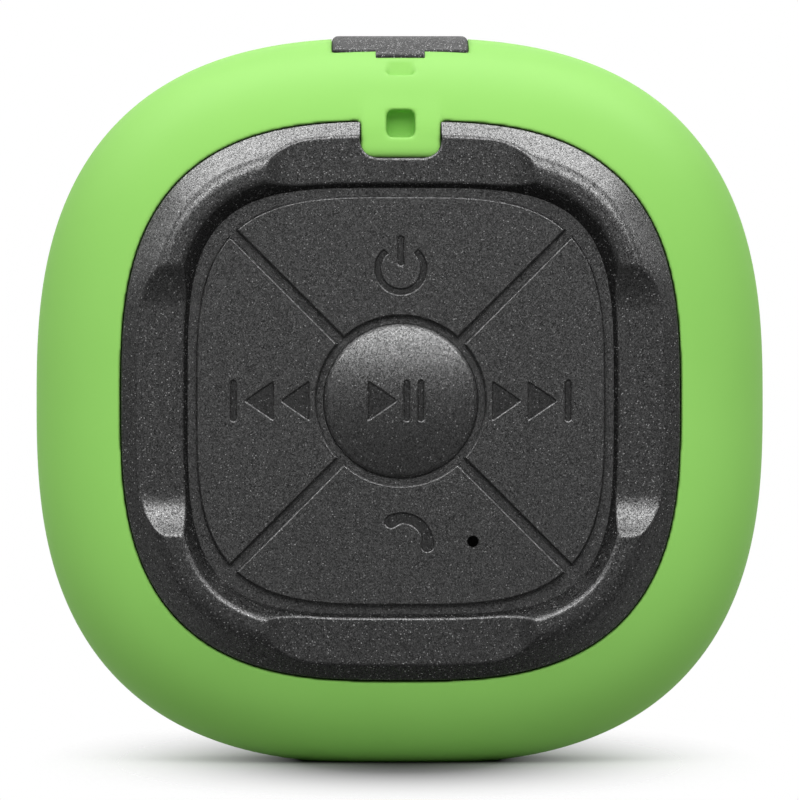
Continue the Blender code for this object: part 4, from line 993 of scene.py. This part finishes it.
def grille_tree():
    """Punch holes in rings round the middle of a plate: a hexagon of points, each a hole."""
    tree, given, end = new_tree(
        "punched_grille", ("Pitch", "Float"), ("Rings", "Int"), ("Punch", "Object"),
        ("Material", "Material"),
    )
    across = sum_up(tree, "ADD", sum_up(tree, "MULTIPLY", given["Rings"], 2.0), 1.0)
    grid = step(tree, "GeometryNodeMeshGrid", Vertices_X=across, Vertices_Y=across)
    index = step(tree, "GeometryNodeInputIndex").outputs[0]
    line = sum_up(tree, "FLOOR", sum_up(tree, "DIVIDE", sum_up(tree, "ADD", index, 0.5), across))
    place = sum_up(tree, "SUBTRACT", index, sum_up(tree, "MULTIPLY", line, across))
    row = sum_up(tree, "SUBTRACT", line, given["Rings"])
    column = sum_up(tree, "SUBTRACT", place, given["Rings"])
    along = sum_up(tree, "ADD", column, sum_up(tree, "MULTIPLY", row, 0.5))
    x = sum_up(tree, "MULTIPLY", given["Pitch"], along)
    z = sum_up(tree, "MULTIPLY", given["Pitch"], sum_up(tree, "MULTIPLY", row, sqrt(3) / 2))
    outside = sum_up(
        tree, "GREATER_THAN", sum_up(tree, "ABSOLUTE", sum_up(tree, "ADD", row, column)),
        sum_up(tree, "ADD", given["Rings"], 0.5),
    )
    spot = step(tree, "ShaderNodeCombineXYZ", X=x, Z=z)
    laid = step(tree, "GeometryNodeSetPosition", Geometry=grid.outputs[0], Position=spot.outputs[0])
    punch = step(tree, "GeometryNodeObjectInfo", Object=given["Punch"])
    kept = step(
        tree, "GeometryNodeInstanceOnPoints", Points=laid.outputs[0],
        Selection=sum_up(tree, "SUBTRACT", 1.0, outside), Instance=punch.outputs["Geometry"],
    )
    punches = step(tree, "GeometryNodeRealizeInstances", Geometry=kept.outputs[0])
    cut = step(tree, "GeometryNodeMeshBoolean", {"operation": "DIFFERENCE", "solver": "EXACT"})
    tree.links.new(given["Geometry"], cut.inputs[0])
    tree.links.new(punches.outputs[0], cut.inputs[1])
    close_tree(tree, end, cut.outputs[0], given["Material"])
    return tree


plate = lofted("grille_plate", [
    [(x, lift, z) for x, z in rounded_square(GRILLE_HALF, GRILLE_POWER, PLATE_STEPS)]
    for lift in (GRILLE_LIFT - GRILLE_THICK, GRILLE_LIFT)
])
punch = lofted("grille_punch", [
    [(x, GRILLE_LIFT + lift, z) for x, z in circle(radius, HOLE_STEPS)]
    for radius, lift in HOLE_WALL
])
grille_data = grow(
    "grille_seed", plate.data, grille_tree(), Pitch=HOLE_PITCH, Rings=HOLE_RINGS, Punch=punch,
    Material=GRILLE_COAT,
)
for tool in (plate, punch):
    bpy.data.objects.remove(tool)
piece("punched_grille", grille_data, GRILLE_COAT, "speaker", "grille_steel", "rear_grille")
piece(
    "rear_rim", bezel_data("rear_bezel", 1.0), PANEL_BLACK, "speaker", "black_panel", "rear_bezel",
    crease=50,
)


# Silicone sleeve: a soft lime-green moulding stretched over the housing. A tab laps over
# the bezel and carries the lanyard eye; the strap comes out again on the shoulder.
SLEEVE_HALF = 0.046
SLEEVE_WALL = 0.0024
SLEEVE_STEPS = 240
MOUTH_HALF = 0.03496
LIP_LIFT = 0.01903
LIP_WALL = 0.0022
SIDE_FLAT = 0.0038
SHOULDER = 0.0185
SHOULDER_END = 0.03504
SHOULDER_STEPS = 24
LINING_STEPS = 8
MOUTH_POWER = 2.92
POWER_FALL = 0.24
SHOULDER_TURN = acos(1 - (SLEEVE_HALF - SHOULDER_END) / SHOULDER)
SHOULDER_RUN = (LIP_LIFT - SIDE_FLAT) / sin(SHOULDER_TURN)


def shoulder_half(lift):
    """Half-width of the sleeve at a distance from the middle plane."""
    past = max(abs(lift) - SIDE_FLAT, 0.0) / SHOULDER_RUN
    return SLEEVE_HALF - SHOULDER * (1 - sqrt(1 - past * past))


def shoulder_lift(half):
    turn = acos(1 - (SLEEVE_HALF - half) / SHOULDER)
    return SIDE_FLAT + SHOULDER_RUN * sin(turn)


def squareness(half):
    """The sleeve is squarest at its mouth and rounder towards its widest line."""
    return MOUTH_POWER - POWER_FALL * (half - SHOULDER_END) / (SLEEVE_HALF - SHOULDER_END)


def silicone(name):
    """Smooth satin rubber with a faint moulding bloom and dust-fine tooth."""
    deep = (0.248, 0.55, 0.113)
    pale = (0.264, 0.57, 0.123)
    material, shader = finish(name, pale, 0.5)
    links = material.node_tree.links
    bloom = texture(material, "ShaderNodeTexNoise", scale=45.0, detail=3.0)
    tooth = texture(material, "ShaderNodeTexNoise", scale=5200.0, detail=2.0)
    share = between(material, bloom.outputs["Fac"], 0.0, 1.0)
    links.new(blend_colours(material, share, deep, pale), shader.inputs["Base Color"])
    links.new(between(material, bloom.outputs["Fac"], 0.46, 0.54), shader.inputs["Roughness"])
    shader.inputs["Specular IOR Level"].default_value = 0.035
    relief(material, shader, tooth.outputs["Fac"], 6e-6)
    return material


GREEN_SILICONE = silicone("green_silicone")
outer = []
for i in range(SHOULDER_STEPS + 1):
    turn = SHOULDER_TURN * (1 - i / SHOULDER_STEPS)
    outer.append((SLEEVE_HALF - SHOULDER * (1 - cos(turn)), SIDE_FLAT + SHOULDER_RUN * sin(turn)))
outer[0] = (MOUTH_HALF, LIP_LIFT)
skin = [(half, -lift) for half, lift in outer] + [(half, lift) for half, lift in reversed(outer)]
inner_half = SLEEVE_HALF - SLEEVE_WALL
inner_lift = LIP_LIFT - LIP_WALL
inner_turn = acos(1 - (inner_half - MOUTH_HALF) / (SHOULDER - SLEEVE_WALL))
lining = []
for i in range(LINING_STEPS + 1):
    turn = inner_turn * i / LINING_STEPS
    lining.append((
        inner_half - (SHOULDER - SLEEVE_WALL) * (1 - cos(turn)),
        SIDE_FLAT + (inner_lift - SIDE_FLAT) * sin(turn) / sin(inner_turn),
    ))
skin += [(half, lift) for half, lift in reversed(lining)] + [(half, -lift) for half, lift in lining]
skin.append(skin[0])
NO_SCOOP = 1.0
seed = bpy.data.meshes.new("sleeve_section")
seed.from_pydata([(half, lift, squareness(half)) for half, lift in skin], [], [])
sleeve_data = turned_out(grow(
    "sleeve_seed", seed, RING, Steps=SLEEVE_STEPS, Side=1.0, Scoop_Floor=NO_SCOOP,
    Scoop_Flat=SCOOP_FLAT, Scoop_Radius=SCOOP_RADIUS, Soften=0.0, Material=GREEN_SILICONE,
))
for vert in sleeve_data.vertices:
    vert.co.z = max(vert.co.z, -CENTRE_Z)
sleeve = placed("sleeve_blank", sleeve_data)


def slab(name, profile, half):
    """A body of one (lift, z) profile drawn out across x."""
    return lofted(name, [[(x, -lift, z) for lift, z in profile] for x in (-half, half)])


TAB_ROUND = 0.0003
TAB_EDGE = ((0.0, 1.0), (0.1, 0.5), (0.4, 0.12), (1.0, 0.0))
TAB_TRIM = 6
TAB_ROOT = 0.0385
TAB_BACK = 0.016
TAB_SIDE_STEPS = 28
TAB_SIDE_STEP = 0.0002
TAB_SIDE_END = 0.0329
TAB_SWELL = 0.00055
TAB_SWELL_RUN = 0.005
TAB_DROP_RUN = 0.0012
TAB_DROP = 300


def tab_lift(z):
    """The tab runs on from the shoulder, swells a little and drops again at its end."""
    rise = min(max((TAB_ROOT - z) / TAB_SWELL_RUN, 0.0), 1.0)
    end = max(TAB_END + TAB_DROP_RUN - z, 0.0)
    swell = TAB_SWELL * rise * rise * (3 - 2 * rise)
    return shoulder_lift(z) + swell - TAB_DROP * end * end


tab_sides = [(-TAB_HALF, TAB_ROOT - TAB_SIDE_STEP * i) for i in range(TAB_SIDE_STEPS)]
tab_end = eased([
    (-TAB_HALF, TAB_SIDE_END), (-TAB_HALF, TAB_END), (TAB_HALF, TAB_END), (TAB_HALF, TAB_SIDE_END),
], TAB_CORNER, 8)[TAB_TRIM:-TAB_TRIM]
tab_line = turned_left(tab_sides + tab_end + [(-x, z) for x, z in reversed(tab_sides)])
tab_rows = [at_lift(tab_line, TAB_BACK)]
for inset, below in TAB_EDGE:
    tab_rows.append([
        (x, -(tab_lift(z) - TAB_ROUND * below), z) for x, z in widened(tab_line, -TAB_ROUND * inset)
    ])
crown = tab_rows[-1]
for share in (0.66, 0.33, 0.0):
    tab_rows.append([(x * share, y, z) for x, y, z in crown])
tab = lofted("tab", tab_rows)
BOSS_HALF = 0.003
boss = slab("eye_boss", [
    (0.0188, 0.0314), (0.0122, 0.0314), (0.0110, 0.0420), (0.0150, 0.0405), (0.0188, 0.0360),
], BOSS_HALF)
EYE_HALF = 0.00176
EYE_LOW = 0.0328
EYE_HIGH = 0.0362
EYE_CORNER = 0.0007
EYE_REACH = (0.0162, 0.024)
STRAP_TOP = 0.047
eye = slab("eye", [
    (0.0174, EYE_LOW), (0.0178, 0.0360), (0.0152, 0.0393), (0.0152, STRAP_TOP),
    (0.0134, STRAP_TOP), (0.0134, 0.0426), (0.0144, 0.0408), (0.0160, 0.0345),
    (0.0166, EYE_LOW),
], EYE_HALF)
mouth_line = eased([
    (-EYE_HALF, EYE_LOW), (EYE_HALF, EYE_LOW), (EYE_HALF, EYE_HIGH), (-EYE_HALF, EYE_HIGH),
], EYE_CORNER, 6)
eye_mouth = lofted("eye_mouth", [at_lift(mouth_line, lift) for lift in EYE_REACH])
OPEN_HALF = 0.00864
OPEN_FRONT = 0.01154
OPEN_REAR = 0.0017
OPEN_CORNER = 0.0006
OPEN_REACH = (0.0385, 0.05)
SLOT_HALF = 0.0031
SLOT_REAR = 0.0048
opening_line = eased([
    (-OPEN_HALF, -OPEN_FRONT), (OPEN_HALF, -OPEN_FRONT), (OPEN_HALF, OPEN_REAR),
    (SLOT_HALF, OPEN_REAR), (SLOT_HALF, SLOT_REAR), (-SLOT_HALF, SLOT_REAR),
    (-SLOT_HALF, OPEN_REAR), (-OPEN_HALF, OPEN_REAR),
], OPEN_CORNER, 4)
opening = lofted("opening", [[(x, y, z) for x, y in opening_line] for z in OPEN_REACH])

# The tab is one with the sleeve, so their join is skinned anew and softened before the port
# opening is cut sharp.
SLEEVE_GRAIN = 0.00032
for tool in (tab, boss):
    cut_in(sleeve, tool, "UNION")
for tool in (eye, eye_mouth):
    cut_in(sleeve, tool, "DIFFERENCE")
moulded = sleeve.modifiers.new("moulded", "REMESH")
moulded.mode = "VOXEL"
moulded.voxel_size = SLEEVE_GRAIN
soft = sleeve.modifiers.new("soft", "SMOOTH")
soft.factor = 0.5
soft.iterations = 5
thin = sleeve.modifiers.new("thin", "DECIMATE")
thin.ratio = 0.27
cut_in(sleeve, opening, "DIFFERENCE")
sleeve_mesh = settled(sleeve)
for tool in (tab, boss, eye, eye_mouth, opening):
    bpy.data.objects.remove(tool)
piece(
    "soft_sleeve", sleeve_mesh, GREEN_SILICONE, "speaker", "green_silicone", "silicone_sleeve",
    crease=180,
)


# Port cover: a dark rubber lid pressed into the sleeve, with a small finger lip at the
# front and a short tether at the rear on which it folds back.
COVER_RUBBER = speckled("cover_rubber", 0.011, 0.5, 0.1, 0.09, 0.4)
COVER_HALF = 0.0086
COVER_FRONT = -0.0115
COVER_REAR = 0.0014
COVER_BASE = 0.0436
COVER_EASE = 0.0004
COVER_SIDE_EASE = 0.0008
COVER_CORNER = 0.001
COVER_PROUD = 0.0002
COVER_LEAST = 0.0001
COVER_STEPS = 24
COVER_SLICES = 40


def round_off(radius, inside):
    """How far a rounded edge has dropped at a distance inside the outline."""
    return radius - sqrt(max(radius ** 2 - max(radius - inside, 0.0) ** 2, 0.0))


def cover_slice(x):
    """The lid's section across x: base, front edge, crown and rear edge."""
    from_side = COVER_HALF - abs(x)
    side_drop = round_off(COVER_SIDE_EASE, from_side)
    front = COVER_FRONT + round_off(COVER_CORNER, from_side)
    points = [(x, COVER_REAR, COVER_BASE), (x, front, COVER_BASE)]
    for i in range(COVER_STEPS + 1):
        y = front + (COVER_REAR - front) * (1 - cos(pi * i / COVER_STEPS)) / 2
        drop = round_off(COVER_EASE, min(y - front, COVER_REAR - y))
        top = shoulder_half(y) + COVER_PROUD - max(side_drop, drop)
        points.append((x, y, max(top, COVER_BASE + COVER_LEAST)))
    return points


stops = [-COVER_HALF * cos(pi * i / COVER_SLICES) for i in range(COVER_SLICES + 1)]
lid = lofted("lid_blank", [cover_slice(x) for x in stops])
FINGER_HALF = 0.00308
FINGER_ROOT = 0.0106
FINGER_TIP = 0.0129
FINGER_EASE = 0.0002
FINGER_INSET = 0.00012
FINGER_LINE = (
    (FINGER_ROOT, 0.00021), (0.0112, 0.00026), (0.0122, 0.0004), (0.0126, 0.0004),
    (FINGER_TIP, 0.0002), (FINGER_TIP, 0.00003), (FINGER_ROOT, -0.0004),
)
lip_profile = [(lift, shoulder_half(lift) + up) for lift, up in FINGER_LINE]
lip_rows = []
for x in (-FINGER_HALF, -FINGER_HALF + FINGER_EASE, FINGER_HALF - FINGER_EASE, FINGER_HALF):
    inset = FINGER_INSET if abs(x) == FINGER_HALF else 0.0
    lip_rows.append([(x, -lift + inset, z - inset) for lift, z in lip_profile])
lid_data = carve(lid, [lofted("finger_lip", lip_rows)], "UNION")
piece("port_lid", lid_data, COVER_RUBBER, "cover", "dark_rubber", "port_cover", crease=50)


# Lid tether: a short rubber strap moulded to the lid. Its root is pressed into the sleeve and
# its thin front end runs into the lid.
TETHER_HALF = 0.003
TETHER_CORNER = 0.00025
TETHER_ROOT = 0.0021
TETHER_TOP = 0.04615
BEND_START = 0.0018
BEND_STEP = 0.0001
BEND_LOW = 0.045
BEND_HIGH = 0.0456
tether_line = [
    (0.0047, COVER_BASE, 0.0459), (0.0046, COVER_BASE, 0.0461), (0.0044, COVER_BASE, TETHER_TOP),
    (0.0023, COVER_BASE, TETHER_TOP), (TETHER_ROOT, 0.0444, TETHER_TOP), (0.0019, 0.0449, 0.0461),
]
for i in range(9):
    top = max(0.046 - BEND_STEP * i, BEND_HIGH)
    tether_line.append((BEND_START - BEND_STEP * i, BEND_LOW, top))
tether_line.append((0.0008, BEND_LOW, BEND_HIGH))
strap_rows = []
for y, low, high in tether_line:
    outline = eased([
        (-TETHER_HALF, low), (TETHER_HALF, low), (TETHER_HALF, high), (-TETHER_HALF, high),
    ], TETHER_CORNER, 3)
    strap_rows.append([(x, y, z) for x, z in outline])
tether = piece(
    "lid_tether", settled(lofted("strap_blank", strap_rows)), COVER_RUBBER, None, "dark_rubber",
    "port_cover_tether", crease=50,
)
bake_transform(tether)


# Stage: a pale floor that fades out into a white surround, with a painted contact shadow
# under the foot and, for bounced rays only, a painted pool of light beside it. Two soft
# boxes light the part, glossy-only panels give the blacks their sheen, and the camera stands
# a little left of the middle, level with the keys.
PAINTED_SHADOW_HALF_X = 0.036
PAINTED_SHADOW_HALF_Y = 0.09
PAINTED_SHADOW_END = 1.25
FADE_START = 0.35
FADE_END = 1.3
BOUNCE_NEAR = 0.02
BOUNCE_FAR = 0.07
FLOOR_RADIUS = 0.8
SKY_LEVEL = 0.52
SKY_SLOPE = 0.21
SKY_LEAST = 0.1
WHITE = (1.0, 1.0, 1.0, 1.0)
floor_mesh = bmesh.new()
bmesh.ops.create_circle(floor_mesh, cap_ends=True, segments=96, radius=FLOOR_RADIUS)
floor = body_of("floor", floor_mesh)
floor_paint, floor_shader = finish("floor_paint", (0.6, 0.6, 0.6), 0.9)
floor_shader.inputs["Specular IOR Level"].default_value = 0.0
ground = floor_paint.node_tree
spot = step(ground, "ShaderNodeTexCoord").outputs["Object"]
from_middle = step(ground, "ShaderNodeVectorMath", {"operation": "LENGTH"}, Vector=spot)
foot = step(
    ground, "ShaderNodeMapping", Vector=spot, Scale=(1 / PAINTED_SHADOW_HALF_X, 1 / PAINTED_SHADOW_HALF_Y, 1.0)
)
from_foot = step(
    ground, "ShaderNodeVectorMath", {"operation": "LENGTH"}, Vector=foot.outputs["Vector"]
)
# Painted shadow: as the camera sees it, the floor darkens smoothly towards an ellipse round the foot.
clear_of_painted_shadow = between(floor_paint, from_foot.outputs["Value"], 0.0, 1.0, 0.0, PAINTED_SHADOW_END)
clear_of_painted_shadow.node.interpolation_type = "SMOOTHSTEP"
painted_shadow = blend_colours(floor_paint, clear_of_painted_shadow, (0.04, 0.04, 0.04), (0.78, 0.78, 0.78))
# Painted light: for rays other than the camera's, the floor is paler near the foot, which throws painted
# bounce light onto the sleeve's underside.
away = between(floor_paint, from_middle.outputs["Value"], 0.0, 1.0, BOUNCE_NEAR, BOUNCE_FAR)
bounce_with_painted_pool = blend_colours(floor_paint, away, (0.42, 0.42, 0.42), (0.22, 0.22, 0.22))
seen_by_camera = step(ground, "ShaderNodeLightPath").outputs["Is Camera Ray"]
floor_colour = blend_colours(floor_paint, seen_by_camera, bounce_with_painted_pool, painted_shadow)
ground.links.new(floor_colour, floor_shader.inputs["Base Color"])
floor_fade = between(floor_paint, from_foot.outputs["Value"], 1.0, 0.0, FADE_START, FADE_END)
ground.links.new(floor_fade, floor_shader.inputs["Alpha"])
floor.data.materials.append(floor_paint)

world = bpy.data.worlds.new("studio")
bpy.context.scene.world = world
world.use_nodes = True
room = world.node_tree
room.nodes.clear()
facing = step(room, "ShaderNodeTexCoord").outputs["Generated"]
upwards = step(room, "ShaderNodeSeparateXYZ", Vector=facing).outputs["Z"]
sky = sum_up(room, "ADD", sum_up(room, "MULTIPLY", upwards, SKY_SLOPE), SKY_LEVEL)
ambient = step(
    room, "ShaderNodeBackground", Color=WHITE, Strength=sum_up(room, "MAXIMUM", sky, SKY_LEAST)
)
backdrop = step(room, "ShaderNodeBackground", Color=WHITE)
rays = step(room, "ShaderNodeLightPath").outputs
seen = rays["Is Camera Ray"]
for other in ("Is Glossy Ray", "Is Transmission Ray"):
    seen = sum_up(room, "MAXIMUM", seen, rays[other])
choice = step(room, "ShaderNodeMixShader")
for socket, source in zip(choice.inputs, (seen, ambient.outputs[0], backdrop.outputs[0])):
    room.links.new(source, socket)
step(room, "ShaderNodeOutputWorld", Surface=choice.outputs[0])


MIDDLE = (0.0, 0.0, CENTRE_Z)


def soft_box(name, place, width, height, watts):
    """A rectangular lamp, turned towards the middle of the part."""
    lamp = bpy.data.lights.new(name, "AREA")
    lamp.shape = "RECTANGLE"
    lamp.size = width
    lamp.size_y = height
    lamp.energy = watts
    lamp_object = placed(name, lamp)
    lamp_object.location = place
    aim = Vector(MIDDLE) - Vector(place)
    lamp_object.rotation_euler = aim.to_track_quat("-Z", "Y").to_euler()
    return lamp_object


def lit_group(name, *pieces):
    """The pieces that a light panel is meant for."""
    group = bpy.data.collections.new(name)
    for piece_name in pieces:
        group.objects.link(bpy.data.objects[piece_name])
    return group


soft_box("front_box", (0.0, -1.2, 1.2), 2.4, 1.2, 32.0)
soft_box("rear_box", (0.0, 1.2, 1.2), 2.4, 1.2, 8.0)
FACE_PIECES = ("front_rim", "keypad_web", *[f"{key}_keytop" for key in KEYS])
SKIN_PIECES = ("soft_sleeve", "port_lid", "lid_tether", "rear_rim", "punched_grille")
front_face = lit_group("front_face", *FACE_PIECES)
outer_skin = lit_group("outer_skin", *FACE_PIECES, *SKIN_PIECES)
for name, place, width, height, watts, receivers in (
    ("sheen_roof", (0.0, 0.2, 1.9), 4.0, 1.1, 270.0, outer_skin),
    ("sheen_low", (0.0, -1.7, 1.1), 3.0, 0.7, 182.0, front_face),
    ("sheen_mid", (0.0, -1.1, 1.6), 3.0, 0.8, 86.0, front_face),
    ("sheen_left", (-1.8, -0.3, 1.1), 1.2, 1.0, 32.0, front_face),
    ("sheen_right", (1.8, -0.3, 1.1), 1.2, 1.0, 28.0, front_face),
):
    panel = soft_box(name, place, width, height, watts)
    panel.visible_diffuse = False
    panel.light_linking.receiver_collection = receivers

bpy.context.scene.view_settings.view_transform = "Standard"
EYE_DISTANCE = 0.9
EYE_LEFT = 0.007
EYE_RAISE = 0.0001
eyepoint = bpy.data.cameras.new("eyepoint")
eyepoint.lens = 318.25
eyepoint.clip_end = 20.0
camera = placed("eyepoint", eyepoint)
camera.location = (-EYE_LEFT, -EYE_DISTANCE, CENTRE_Z + EYE_RAISE)
camera.rotation_euler = (radians(90.0), 0.0, -atan2(EYE_LEFT, EYE_DISTANCE))
bpy.context.scene.camera = camera
